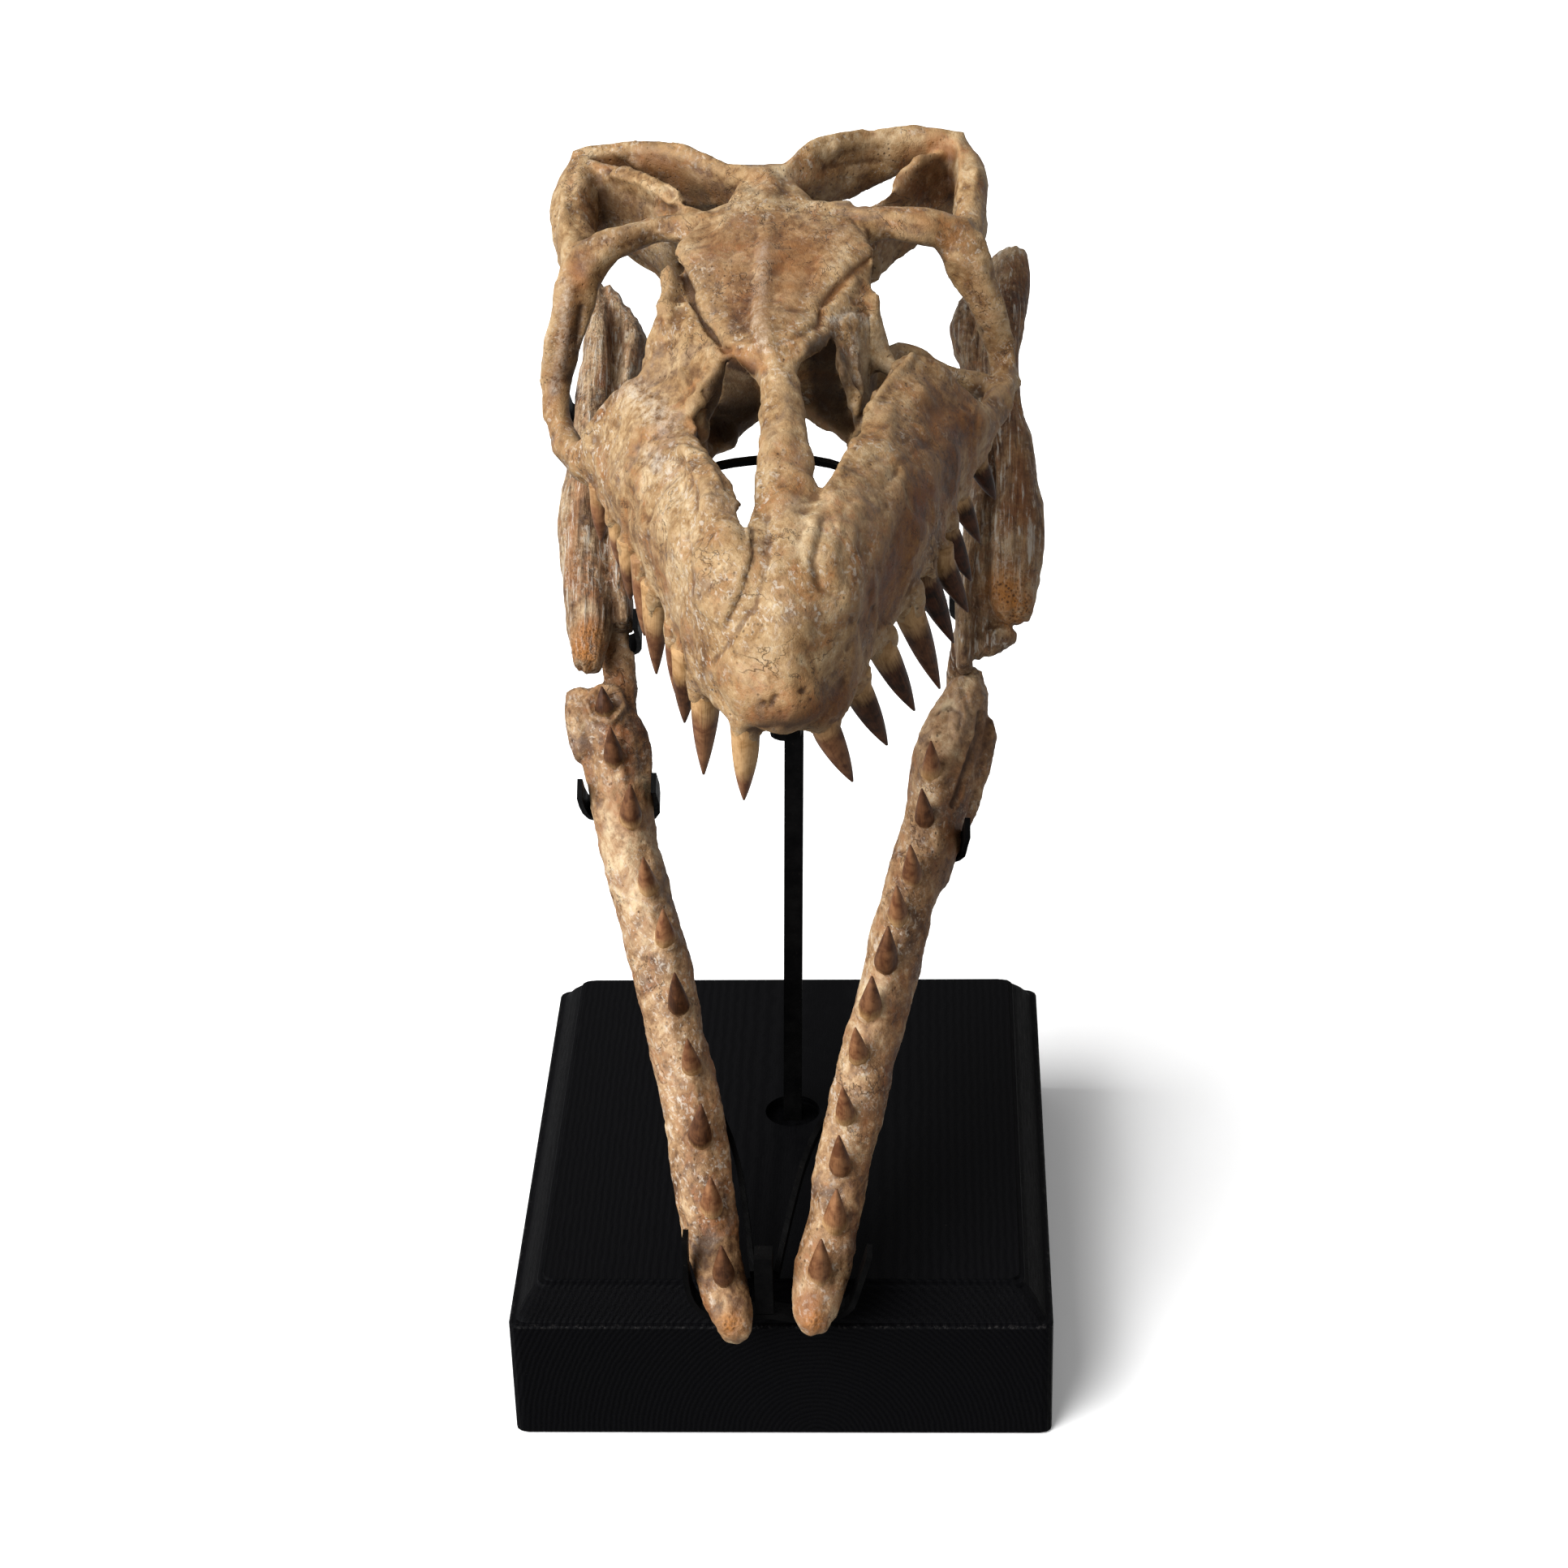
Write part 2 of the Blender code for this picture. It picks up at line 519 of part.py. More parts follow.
def build_post(steel):
    bottom = BASE_HEIGHT - RECESS_DEPTH - POST_SOCKET_DEPTH + GAP
    half = POST_SIDE / 2
    rings = [square_ring((POST_X, POST_Y), half, z) for z in (bottom, POST_BEND)]
    rings.append(square_ring((POST_TOP_X, POST_Y), half, POST_TOP))
    return finish(add_mesh("post", *close_grid(rings)), "post", steel, smooth=False)


def on_jaw(x, y, z):
    return JAW_FRAME @ Vector((x, y, z))


def in_metres(route):
    return [Vector(p) * MM for p in route]


# Armature routes in millimetres. The first two are in the plinth's frame.
SKULL_CROSSBAR = [(-80.7, 218, 456), (-73, 130, 475), (-62.5, 54, 489.5), (-46, 19, 500.6),
                  (-27, 14, 509), (-8, 13, 512.2), (13, 13, 513), (31, 14, 509.6), (48, 20, 502),
                  (68, 55, 490), (84, 130, 475), (97.6, 218, 456)]
JAW_CROSSBAR = [(-79.6, 108.5, 367), (-76.3, 117, 376), (-50, 75, 398), (-14, 27, 420), (11, 20.4, 424),
                (36, 30, 417), (70, 86, 388), (92.6, 121.5, 371)]
# In jaw coordinates: x across, y along, z out of the tooth side
LEFT_STRAP = [(-14, 30.4, -17.8), (-19, 70, -23), (-26, 104, -32), (-44, 150, -47), (-66, 220, -54),
              (-84, 290, -55.2), (-93, 350, -53), (-95, 402, -45)]
RIGHT_STRAP = [(-1.2, 30.4, -17.8), (7, 70, -23), (16, 104, -32), (36, 150, -48), (60, 220, -54),
               (80, 290, -54.9), (94, 350, -54), (104, 424, -44.6)]
# Front cradle, across and up, in an upright plane
CRADLE_Y = -0.1755
CRADLE = [(-49.3, 141), (-49.3, 112), (-44.5, 97), (-34, 89), (-22, 88.6), (-8, 91.3), (14, 87.5),
          (27, 88.5), (38.5, 95), (43, 106), (50, 131)]
STEM_X = -7.5
STEM_FOOT = 93.0
STEM_TOP = 130
# Clips: distance along the jaw, then across and out of it
CLIPS = {
    "mid_clip_left": (306, [(-114.8, -4), (-114.3, -30), (-108.5, -44), (-92.5, -46), (-78.5, -44),
                            (-72, -28), (-72, 6)]),
    "mid_clip_right": (279, [(69, -43), (80, -45.2), (92, -44.4), (101.5, -34), (103.5, -14), (105, 4)]),
    "rear_clip_left": (404, [(-84, 10), (-84, -22), (-91, -34), (-108, -36), (-124, -30)]),
    "rear_clip_right": (424, [(97.6, 8), (97.6, -24), (105, -35), (122, -38), (140, -34)]),
    "upper_clip_left": (548, [(-129, 4), (-128, -24), (-118, -37), (-100, -40), (-88, -34),
                              (-85.1, -2)]),
    "upper_clip_right": (548, [(102, -2), (104, -28), (112, -37), (125, -39), (138, -35)]),
}
STRAP_THICKNESS = 0.003
STRAP_WIDTH = 0.014
CLIP_WIDTH = 0.012
CROSSBAR_WIDTH = 0.006
PALATE_BAR_WIDTH = 0.015
PALATE_BAR_THICKNESS = 0.004
PALATE_BAR_HEIGHT = 0.4929
# Middle of its round front end, in the skull's own millimetres
PALATE_BAR_FRONT = (-6, 33, 0)
FRONT_ARC_STEPS = 8
CRADLE_STEM_THICKNESS = 0.010


def build_palate_bar(steel):
    """Bar with a round front end from under the snout back to the post."""
    height = (PALATE_BAR_HEIGHT - BASE_HEIGHT) / (POST_TOP - BASE_HEIGHT)
    post_x = POST_X + (POST_TOP_X - POST_X) * height
    rear = Vector((post_x, POST_Y - POST_SIDE / 2 - GAP, 0))
    front = SKULL_FRAME @ Vector(PALATE_BAR_FRONT)
    front.z = 0
    along = (rear - front).normalized()
    side = Vector((-along.y, along.x, 0))
    half = PALATE_BAR_WIDTH / 2
    outline = [rear + side * half, rear - side * half]
    for k in range(FRONT_ARC_STEPS + 1):
        turn = math.pi * k / FRONT_ARC_STEPS
        outline.append(front - side * half * math.cos(turn) - along * half * math.sin(turn))
    outline[0].y = outline[1].y = rear.y
    half_t = PALATE_BAR_THICKNESS / 2
    rings = [[p + Vector((0, 0, PALATE_BAR_HEIGHT + z)) for p in outline] for z in (-half_t, half_t)]
    return finish(add_mesh("palate_bar", *close_grid(rings)), "palate_bar", steel, smooth=False)


def build_cradle(steel):
    route = [Vector((x, 0, z)) * MM + Vector((0, CRADLE_Y, 0)) for x, z in CRADLE]
    bar("front_cradle", route, STRAP_THICKNESS, CLIP_WIDTH, steel, steps=24, up=(0, 1, 0))
    foot = Vector((STEM_X * MM, CRADLE_Y, STEM_FOOT * MM))
    top = Vector((STEM_X * MM, CRADLE_Y, STEM_TOP * MM))
    bar("cradle_stem", [foot, top], CRADLE_STEM_THICKNESS, CLIP_WIDTH, steel, up=(0, 1, 0))


def build_armature(steel):
    build_post(steel)
    build_palate_bar(steel)
    bar("skull_crossbar", in_metres(SKULL_CROSSBAR), CROSSBAR_WIDTH, STRAP_THICKNESS, steel, steps=26)
    bar("jaw_crossbar", in_metres(JAW_CROSSBAR), STRAP_THICKNESS, CROSSBAR_WIDTH, steel, steps=18)
    tooth_side = JAW_FRAME.to_3x3() @ Vector((0, 0, 1))
    along_jaw = JAW_FRAME.to_3x3() @ Vector((0, 1, 0))
    for name, route in (("jaw_strap_left", LEFT_STRAP), ("jaw_strap_right", RIGHT_STRAP)):
        bar(name, [on_jaw(*p) for p in route], STRAP_THICKNESS, STRAP_WIDTH, steel, steps=18, up=tooth_side)
    for name, (along, route) in CLIPS.items():
        points = [on_jaw(x, along, z) for x, z in route]
        bar(name, points, STRAP_THICKNESS, CLIP_WIDTH, steel, steps=12, up=along_jaw)
    build_cradle(steel)


def main():
    clear_scene()
    bone = material("fossil_bone", (0.48, 0.33, 0.18), 0.7)
    wood = material("black_wood", (0.008, 0.008, 0.009), 0.5)
    steel = material("black_steel", (0.01, 0.01, 0.011), 0.45, 0.6)
    build_skull(bone)
    build_front_jaw("front_jaw_left", LEFT_FRONT_JAW, LEFT_LOWER_TEETH,
                    [LEFT_JAW_CORNER, LEFT_JAW_PLATE], bone)
    build_front_jaw("front_jaw_right", RIGHT_FRONT_JAW, RIGHT_LOWER_TEETH, [RIGHT_JAW_SLIVER], bone)
    build_rear_jaw("rear_jaw_left", (LEFT_REAR_OUTER, LEFT_REAR_INNER), bone)
    build_rear_jaw("rear_jaw_right", (RIGHT_REAR_OUTER, RIGHT_REAR_INNER, RIGHT_REAR_FLANGE), bone)
    build_base(wood)
    build_armature(steel)


main()
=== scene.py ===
import json
import math
from typing import NamedTuple

import bmesh
import bpy
import numpy as np
from mathutils import Matrix, Vector, noise
from mathutils.bvhtree import BVHTree
from mathutils.kdtree import KDTree

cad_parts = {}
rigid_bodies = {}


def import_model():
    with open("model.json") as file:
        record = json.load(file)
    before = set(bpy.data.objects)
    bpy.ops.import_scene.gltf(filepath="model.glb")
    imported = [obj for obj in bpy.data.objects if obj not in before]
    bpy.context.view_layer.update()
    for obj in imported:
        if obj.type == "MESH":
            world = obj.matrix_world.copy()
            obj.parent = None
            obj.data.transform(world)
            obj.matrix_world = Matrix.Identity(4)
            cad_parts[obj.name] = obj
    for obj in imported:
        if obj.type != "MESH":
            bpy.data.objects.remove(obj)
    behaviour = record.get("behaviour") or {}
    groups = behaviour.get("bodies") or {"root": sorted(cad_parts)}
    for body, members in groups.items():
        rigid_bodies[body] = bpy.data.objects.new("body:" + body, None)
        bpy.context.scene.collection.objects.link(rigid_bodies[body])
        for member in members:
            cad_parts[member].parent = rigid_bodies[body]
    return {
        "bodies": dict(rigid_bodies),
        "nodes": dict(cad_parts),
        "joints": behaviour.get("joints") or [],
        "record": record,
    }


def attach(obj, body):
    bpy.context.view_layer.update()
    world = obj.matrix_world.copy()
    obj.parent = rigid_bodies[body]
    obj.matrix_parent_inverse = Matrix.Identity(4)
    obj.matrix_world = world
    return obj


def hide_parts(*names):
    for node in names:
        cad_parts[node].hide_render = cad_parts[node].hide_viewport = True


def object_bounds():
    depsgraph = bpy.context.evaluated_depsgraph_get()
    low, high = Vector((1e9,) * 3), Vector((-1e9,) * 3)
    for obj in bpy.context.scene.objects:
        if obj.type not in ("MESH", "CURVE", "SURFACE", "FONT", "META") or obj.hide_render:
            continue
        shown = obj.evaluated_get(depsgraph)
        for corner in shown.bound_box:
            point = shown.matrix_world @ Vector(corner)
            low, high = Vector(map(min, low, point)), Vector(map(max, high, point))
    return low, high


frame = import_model()
CAD_LOW, CAD_HIGH = [np.array(c, dtype=float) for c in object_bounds()]
CAD_MARGIN = 0.0001
MM = 0.001

# Camera, matched to the photograph, with its picture 1932 pixels wide
YAW, PITCH, ROLL = math.radians(-2.69), math.radians(29.51), math.radians(-1.64)
FOCAL_PIXELS, PICTURE = 4370.0, 1932.0
EYE = np.array([0.0834, -1.7151, 1.2930])
look = np.array([math.sin(YAW) * math.cos(PITCH), math.cos(YAW) * math.cos(PITCH), -math.sin(PITCH)])
level = np.array([math.cos(YAW), -math.sin(YAW), 0.0])
rise = np.cross(level, look)
right = math.cos(ROLL) * level + math.sin(ROLL) * rise
up = -math.sin(ROLL) * level + math.cos(ROLL) * rise


def to_picture(points):
    """Pixel places of points in the photograph."""
    away = points - EYE
    depth = away @ look
    return np.stack([PICTURE / 2 + FOCAL_PIXELS * (away @ right) / depth,
                     PICTURE / 2 - FOCAL_PIXELS * (away @ up) / depth], axis=1)


def add_object(name, data):
    made = bpy.data.objects.new(name, data)
    bpy.context.scene.collection.objects.link(made)
    return made


def make_camera():
    data = bpy.data.cameras.new("camera")
    data.sensor_width = 36.0
    data.lens = FOCAL_PIXELS / PICTURE * data.sensor_width
    data.clip_end = 100.0
    made = add_object("camera", data)
    made.matrix_world = Matrix((
        (right[0], up[0], -look[0], EYE[0]),
        (right[1], up[1], -look[1], EYE[1]),
        (right[2], up[2], -look[2], EYE[2]),
        (0, 0, 0, 1)))
    bpy.context.scene.camera = made


# Frames of the part's source
SKULL_FRAME = (Matrix.Translation((0.024, -0.284, 0.490)) @ Matrix.Rotation(math.radians(3.06), 4, "Z")
               @ Matrix.Rotation(math.radians(-2.0), 4, "Y") @ Matrix.Scale(MM, 4))
JAW_SLOPE = math.atan(0.9)
JAW_FRAME = (Matrix.Translation((0.0, -0.200, 0.100)) @ Matrix.Rotation(JAW_SLOPE, 4, "X")
             @ Matrix.Scale(MM, 4))


def smooth_rows(rows, count):
    """So many points, evenly spread, on a smooth curve through the rows."""
    rows = np.asarray(rows, dtype=float)
    padded = np.vstack([2 * rows[0] - rows[1], rows, 2 * rows[-1] - rows[-2]])
    samples = []
    for place in np.linspace(0, len(rows) - 1, count):
        i = min(int(place), len(rows) - 2)
        t = place - i
        a, b, c, d = padded[i:i + 4]
        samples.append(0.5 * (2 * b + (c - a) * t + (2 * a - 5 * b + 4 * c - d) * t ** 2
                              + (3 * b - a - 3 * c + d) * t ** 3))
    return np.array(samples)


def close_grid(rings, first=None, last=None):
    """Points and faces of the closed skin over a row of rings. Each end has a tip, or else a flat cap."""
    points = [Vector(p) for ring in rings for p in ring]
    n = len(rings[0])
    faces = []
    for r in range(len(rings) - 1):
        for i in range(n):
            j = (i + 1) % n
            faces.append((r * n + i, r * n + j, (r + 1) * n + j, (r + 1) * n + i))
    for tip, ring in ((first, 0), (last, len(rings) - 1)):
        loop = [ring * n + i for i in range(n)]
        if tip is None:
            faces.append(tuple(loop))
        else:
            points.append(Vector(tip))
            faces += [(loop[i], loop[(i + 1) % n], len(points) - 1) for i in range(n)]
    return points, faces


def mirrored(rows):
    """The same rows on the other side, where x changes its sign."""
    return [(-row[0], *row[1:]) for row in rows]


# Rings along a limb for each of its rows, and the share of its radius that its ends bulge
LIMB_STEPS, END_BULGE = 9, 0.5
# Share of a sheet's thickness that its rim has, and what each step inwards adds
RIM_SHARE, RIM_GAIN = 0.55, 0.2


class Bone:
    """Overlapping closed shapes that are fused into one fine surface and then worked on."""

    def __init__(self):
        self.mesh = bmesh.new()

    def add(self, points, faces):
        verts = [self.mesh.verts.new(p) for p in points]
        made = [self.mesh.faces.new([verts[i] for i in face]) for face in faces]
        bmesh.ops.recalc_face_normals(self.mesh, faces=made)

    def limb(self, rows, steps=None, sides=20, up=(0, 0, 1)):
        """A round limb. Its rows hold a centre, then half its width and half its height."""
        rows = smooth_rows(rows, steps or LIMB_STEPS * len(rows))
        centres = rows[:, :3]
        tangents = np.gradient(centres, axis=0)
        rings = []
        for centre, tangent, (wide, high) in zip(centres, tangents, rows[:, 3:]):
            along = Vector(tangent).normalized()
            side = along.cross(Vector(up)).normalized()
            top = side.cross(along)
            turns = [2 * math.pi * i / sides for i in range(sides)]
            rings.append([Vector(centre) + side * wide * math.cos(t) + top * high * math.sin(t)
                          for t in turns])
        ends = []
        for k, sign in ((0, -1), (-1, 1)):
            along = Vector(tangents[k]).normalized()
            ends.append(Vector(centres[k]) + along * sign * END_BULGE * float(min(rows[k, 3:])))
        self.add(*close_grid(rings, *ends))

    def sheet(self, rows, thickness, across=24, along=48):
        """A curved sheet through rows of points, with a thinner rim."""
        grid = np.array([smooth_rows(row, across) for row in rows])
        grid = np.array([smooth_rows(grid[:, k], along) for k in range(across)]).transpose(1, 0, 2)
        normal = np.cross(np.gradient(grid, axis=0), np.gradient(grid, axis=1))
        normal /= np.linalg.norm(normal, axis=2, keepdims=True) + 1e-9
        from_rim = np.minimum.outer(np.minimum(np.arange(along), np.arange(along)[::-1]),
                                    np.minimum(np.arange(across), np.arange(across)[::-1]))
        half = np.minimum(1.0, RIM_SHARE + RIM_GAIN * from_rim)[..., None] * thickness / 2
        upper, lower = grid + normal * half, grid - normal * half
        self.add(*close_grid([np.vstack([upper[k], lower[k][::-1]]) for k in range(along)]))

    def bend_snout(self):
        for vert in self.mesh.verts:
            vert.co.x -= snout_bend(vert.co.y)

    def fuse(self, frame, voxel):
        """One closed surface round all the shapes, in the object's frame."""
        self.mesh.transform(frame)
        mesh = bpy.data.meshes.new("fused")
        self.mesh.to_mesh(mesh)
        self.mesh.free()
        rough = add_object("fused", mesh)
        fuse = rough.modifiers.new("fuse", "REMESH")
        fuse.mode = "VOXEL"
        fuse.voxel_size = voxel
        depsgraph = bpy.context.evaluated_depsgraph_get()
        result = bpy.data.meshes.new_from_object(rough.evaluated_get(depsgraph))
        bpy.data.objects.remove(rough, do_unlink=True)
        keep_largest(result)
        return Surface(result)


def keep_largest(mesh):
    """Drops loose crumbs, so that one connected surface is left."""
    work = bmesh.new()
    work.from_mesh(mesh)
    unseen = set(work.verts)
    bodies = []
    while unseen:
        stack = [unseen.pop()]
        body = []
        while stack:
            vert = stack.pop()
            body.append(vert)
            for edge in vert.link_edges:
                other = edge.other_vert(vert)
                if other in unseen:
                    unseen.discard(other)
                    stack.append(other)
        bodies.append(body)
    bodies.sort(key=len)
    for body in bodies[:-1]:
        bmesh.ops.delete(work, geom=body, context="VERTS")
    work.to_mesh(mesh)
    work.free()


def segment_distance(places, path):
    """Distance of 2-D or 3-D places from a polyline, and the share of the way along it."""
    path = np.asarray(path, dtype=float)
    best = np.full(len(places), 1e9)
    share = np.zeros(len(places))
    if len(path) == 1:
        return np.linalg.norm(places - path[0], axis=1), share
    for i in range(len(path) - 1):
        run = path[i + 1] - path[i]
        t = np.clip((places - path[i]) @ run / (run @ run), 0, 1)
        away = np.linalg.norm(places - path[i] - t[:, None] * run, axis=1)
        closer = away < best
        best[closer] = away[closer]
        share[closer] = (i + t[closer]) / (len(path) - 1)
    return best, share


def row_dots(a, b):
    return np.einsum("ij,ij->i", a, b)


def ease(value):
    """A smooth step from 0 to 1."""
    value = np.clip(value, 0, 1)
    return value * value * (3 - 2 * value)


def soft(place):
    """Cloudy noise."""
    return noise.fractal(place, 0.9, 2.1, 3)


def ridged(place):
    """Noise with sharp crests."""
    return 0.5 - abs(noise.noise(place)) * 2


# Seen points: where a ray to the camera starts, in metres, and the facing at which a point starts to be
# seen and is seen in full
EYE_RAY_START, FACING_LEAST, FACING_FULL = 0.0035, 0.05, 0.35
# Carving, in pixels: how far from a sharp line the faces are split, and how wide a shelf's edge is, with the
# share of its length over which it fades at each end
SPLIT_REACH, SHELF_EDGE, SHELF_ENDS = 8, 2.0, 0.12
# Planes: the fewest, how far their borders wander, how smoothly, and how far a plane may turn from the bone
PLANES_LEAST, WANDER_SIZE, WANDER_ROUNDS, WANDER_GAIN = 8, 0.12, 12, 3
AGREE_FROM, AGREE_RANGE = 0.35, 0.4
# Sunken places: rounds of smoothing, the round that the fine ones use, its share, and depths that count as 1
CALM_ROUNDS, FINE_ROUND, CALM_SHARE = 24, 3, 0.6
FINE_DEPTH, BROAD_DEPTH = 0.25 * MM, 1.2 * MM
# Covered places: rays for each point, their start and length in metres, and their pull along the normal
SKY_RAYS = 12
SKY_RAY_START, SKY_RAY_LENGTH, SKY_PULL = 0.0008, 0.05, 1.02
# Painted shade: brown that is added to bone that faces right, away from the light
SHADED_SIDE_BROWN = 0.15


class Surface:
    """A fine mesh with numpy views of its points, for carving and for painted values."""

    def __init__(self, mesh):
        self.mesh = mesh
        count = len(mesh.vertices)
        flat = np.empty(count * 3)
        mesh.vertices.foreach_get("co", flat)
        self.points = flat.reshape(-1, 3)
        pairs = np.empty(len(mesh.edges) * 2, dtype=np.int64)
        mesh.edges.foreach_get("vertices", pairs)
        self.pairs = pairs.reshape(-1, 2)
        self.links = np.bincount(self.pairs.ravel(), minlength=count).astype(float)
        self.values = {}
        self.pixels = self.seen = None

    def store(self):
        self.mesh.vertices.foreach_set("co", self.points.ravel())

    def refined(self, paths):
        """The same surface with its faces split once where they lie near the paths."""
        near = np.zeros(len(self.points), dtype=bool)
        for path in paths:
            near |= (segment_distance(self.pixels, path)[0] < SPLIT_REACH) & (self.seen > 0)
        self.store()
        work = bmesh.new()
        work.from_mesh(self.mesh)
        work.verts.ensure_lookup_table()
        edges = [edge for edge in work.edges if near[edge.verts[0].index] and near[edge.verts[1].index]]
        bmesh.ops.subdivide_edges(work, edges=edges, cuts=1, use_grid_fill=True, smooth=0.3)
        work.to_mesh(self.mesh)
        work.free()
        return Surface(self.mesh)

    def average(self, data):
        """Mean over each point's neighbours."""
        a, b = self.pairs.T
        if data.ndim == 1:
            total = np.bincount(a, data[b], len(data)) + np.bincount(b, data[a], len(data))
            return total / self.links
        return np.stack([self.average(data[:, k]) for k in range(data.shape[1])], axis=1)

    def softened(self, data, rounds):
        for _ in range(rounds):
            data = 0.5 * data + 0.5 * self.average(data)
        return data

    def relax(self, rounds):
        for _ in range(rounds):
            self.points += 0.5 * (self.average(self.points) - self.points)

    def normals(self):
        self.store()
        self.mesh.update()
        flat = np.empty(len(self.points) * 3)
        self.mesh.vertex_normals.foreach_get("vector", flat)
        return flat.reshape(-1, 3)

    def tree(self):
        return BVHTree.FromPolygons([Vector(p) for p in self.points],
                                    [tuple(f.vertices) for f in self.mesh.polygons])

    def look_from_camera(self):
        """Marks the points that the photograph shows, and keeps their pixel places."""
        tree = self.tree()
        normals = self.normals()
        self.pixels = to_picture(self.points)
        toward = EYE - self.points
        toward /= np.linalg.norm(toward, axis=1, keepdims=True)
        facing = row_dots(toward, normals)
        self.seen = np.zeros(len(self.points))
        for i in np.nonzero(facing > FACING_LEAST)[0]:
            start = Vector(self.points[i] + toward[i] * EYE_RAY_START)
            if tree.ray_cast(start, Vector(toward[i]))[0] is None:
                self.seen[i] = min(1.0, facing[i] / FACING_FULL)

    def lift(self, amount, height):
        """Moves the points outwards by a height in mm, each by its own amount of it."""
        self.points += self.normals() * (amount * height * MM)[:, None]

    def near(self, path, radius):
        """1 on a line of the photograph, falling to 0 at radius pixels away."""
        away, _ = segment_distance(self.pixels, path)
        return ease(1 - away / radius)

    def press(self, path, radius, height):
        """Raises or sinks what lies near a line of the photograph. Radius in its pixels, height in mm."""
        self.lift(self.near(path, radius) * self.seen, height)

    def shelf(self, path, reach, height):
        """A step along a line of the photograph: it stands up sharply on one side and fades out behind."""
        path = np.asarray(path, dtype=float)
        away, share = segment_distance(self.pixels, path)
        spot = np.minimum((share * (len(path) - 1)).astype(int), len(path) - 2)
        run = path[spot + 1] - path[spot]
        gap = self.pixels - path[spot]
        behind = run[:, 0] * gap[:, 1] - run[:, 1] * gap[:, 0] > 0
        ends = ease(share / SHELF_ENDS) * ease((1 - share) / SHELF_ENDS)
        step = np.where(behind, ease(away / SHELF_EDGE) * np.exp(-away / reach), 0)
        self.lift(step * ends * self.seen, height)

    def inside(self, outline, margin):
        """How far inside an outline of the photograph each point lies, from 0 to 1 at margin pixels."""
        x, y = self.pixels.T
        within = np.zeros(len(x), dtype=bool)
        for (ax, ay), (bx, by) in zip(outline, outline[1:] + outline[:1]):
            if ay != by:
                within ^= ((ay > y) != (by > y)) & (x < (bx - ax) * (y - ay) / (by - ay) + ax)
        away, _ = segment_distance(self.pixels, outline + outline[:1])
        return np.where(within, ease(away / margin), 0.0) * self.seen

    def plate(self, outline, height, margin):
        """Lifts or sinks the inside of an outline of the photograph, with an edge margin pixels wide."""
        self.lift(self.inside(outline, margin), height)

    def carve(self, strokes, plates=(), shelves=()):
        for stroke in strokes:
            self.press(*stroke)
        for plate in plates:
            self.plate(*plate)
        for shelf in shelves:
            self.shelf(*shelf)

    def add_value(self, name, amount):
        self.values.setdefault(name, np.zeros(len(self.points)))
        self.values[name] += amount

    def paint_stains_and_shade(self, lines, areas=()):
        """Adds painted values, which the materials read: along lines, then inside outlines. Brown and dirt
        among them are partly painted shade.
        """
        for name, path, radius, amount in lines:
            self.add_value(name, self.near(path, radius) * amount * self.seen)
        for name, outline, margin, amount in areas:
            self.add_value(name, self.inside(outline, margin) * amount)

    def rough(self, layers):
        """Adds noise: each layer has a size in mm, a height in mm, a stretch per axis, a kind and a shift."""
        normals = self.normals()
        total = np.zeros(len(self.points))
        for size, height, stretch, kind, shift in layers:
            places = self.points / (size * MM) * np.array(stretch) + shift
            total += np.array([kind(Vector(p)) for p in places]) * height
        self.points += normals * (total * MM)[:, None]

    def facet(self, size, share, limit, seed, calm=1):
        """Flattens the surface into natural-looking planes about as wide as size, in mm."""
        normals = self.normals()
        rng = np.random.default_rng(seed)
        area = sum(f.area for f in self.mesh.polygons)
        count = max(PLANES_LEAST, int(area / (size * MM) ** 2))
        chosen = rng.choice(len(self.points), count, replace=False)
        tree = KDTree(count)
        for k, i in enumerate(chosen):
            tree.insert(Vector(self.points[i]), k)
        tree.balance()
        wander = rng.normal(0, WANDER_SIZE * size * MM, size=(len(self.points), 3))
        for _ in range(WANDER_ROUNDS):
            wander = self.average(wander)
        cell = np.array([tree.find(Vector(p))[1] for p in self.points + wander * WANDER_GAIN])
        weight = np.bincount(cell, minlength=count).astype(float)[:, None] + 1e-9
        middle = np.stack([np.bincount(cell, self.points[:, k], count) for k in range(3)], 1) / weight
        facing = np.stack([np.bincount(cell, normals[:, k], count) for k in range(3)], 1)
        facing /= np.linalg.norm(facing, axis=1, keepdims=True) + 1e-9
        away = row_dots(middle[cell] - self.points, facing[cell])
        agree = ease((row_dots(normals, facing[cell]) - AGREE_FROM) / AGREE_RANGE)
        move = (np.clip(away, -limit * MM, limit * MM) * agree * share)[:, None] * facing[cell]
        self.points += self.softened(move, calm)

    def covered(self, normals):
        """The share of the sky over each point that bone hides."""
        fan = np.random.default_rng(7).normal(size=(SKY_RAYS, 3))
        fan /= np.linalg.norm(fan, axis=1, keepdims=True)
        tree = self.tree()
        hidden = np.zeros(len(self.points))
        for i, (point, normal) in enumerate(zip(self.points, normals)):
            start = Vector(point + normal * SKY_RAY_START)
            for ray in fan:
                if tree.ray_cast(start, Vector(normal * SKY_PULL + ray), SKY_RAY_LENGTH)[0] is not None:
                    hidden[i] += 1
        return self.softened(hidden / SKY_RAYS, 3)

    def measure(self):
        """Keeps how sunken each point is, finely and broadly, and how much of its sky is covered, which the
        bone materials turn into painted shade, and adds brown painted shade where the bone faces right.
        """
        normals = self.normals()
        calm = self.points.copy()
        for i in range(CALM_ROUNDS):
            calm += CALM_SHARE * (self.average(calm) - calm)
            if i == FINE_ROUND:
                fine = row_dots(self.points - calm, normals)
        broad = row_dots(self.points - calm, normals)
        self.values["fine"] = fine / FINE_DEPTH
        self.values["broad"] = broad / BROAD_DEPTH
        self.values["covered"] = self.covered(normals)
        # Painted shade: brown on bone that faces right, away from the light
        self.add_value("brown_and_shade", SHADED_SIDE_BROWN * np.clip(normals[:, 0], 0, 1))

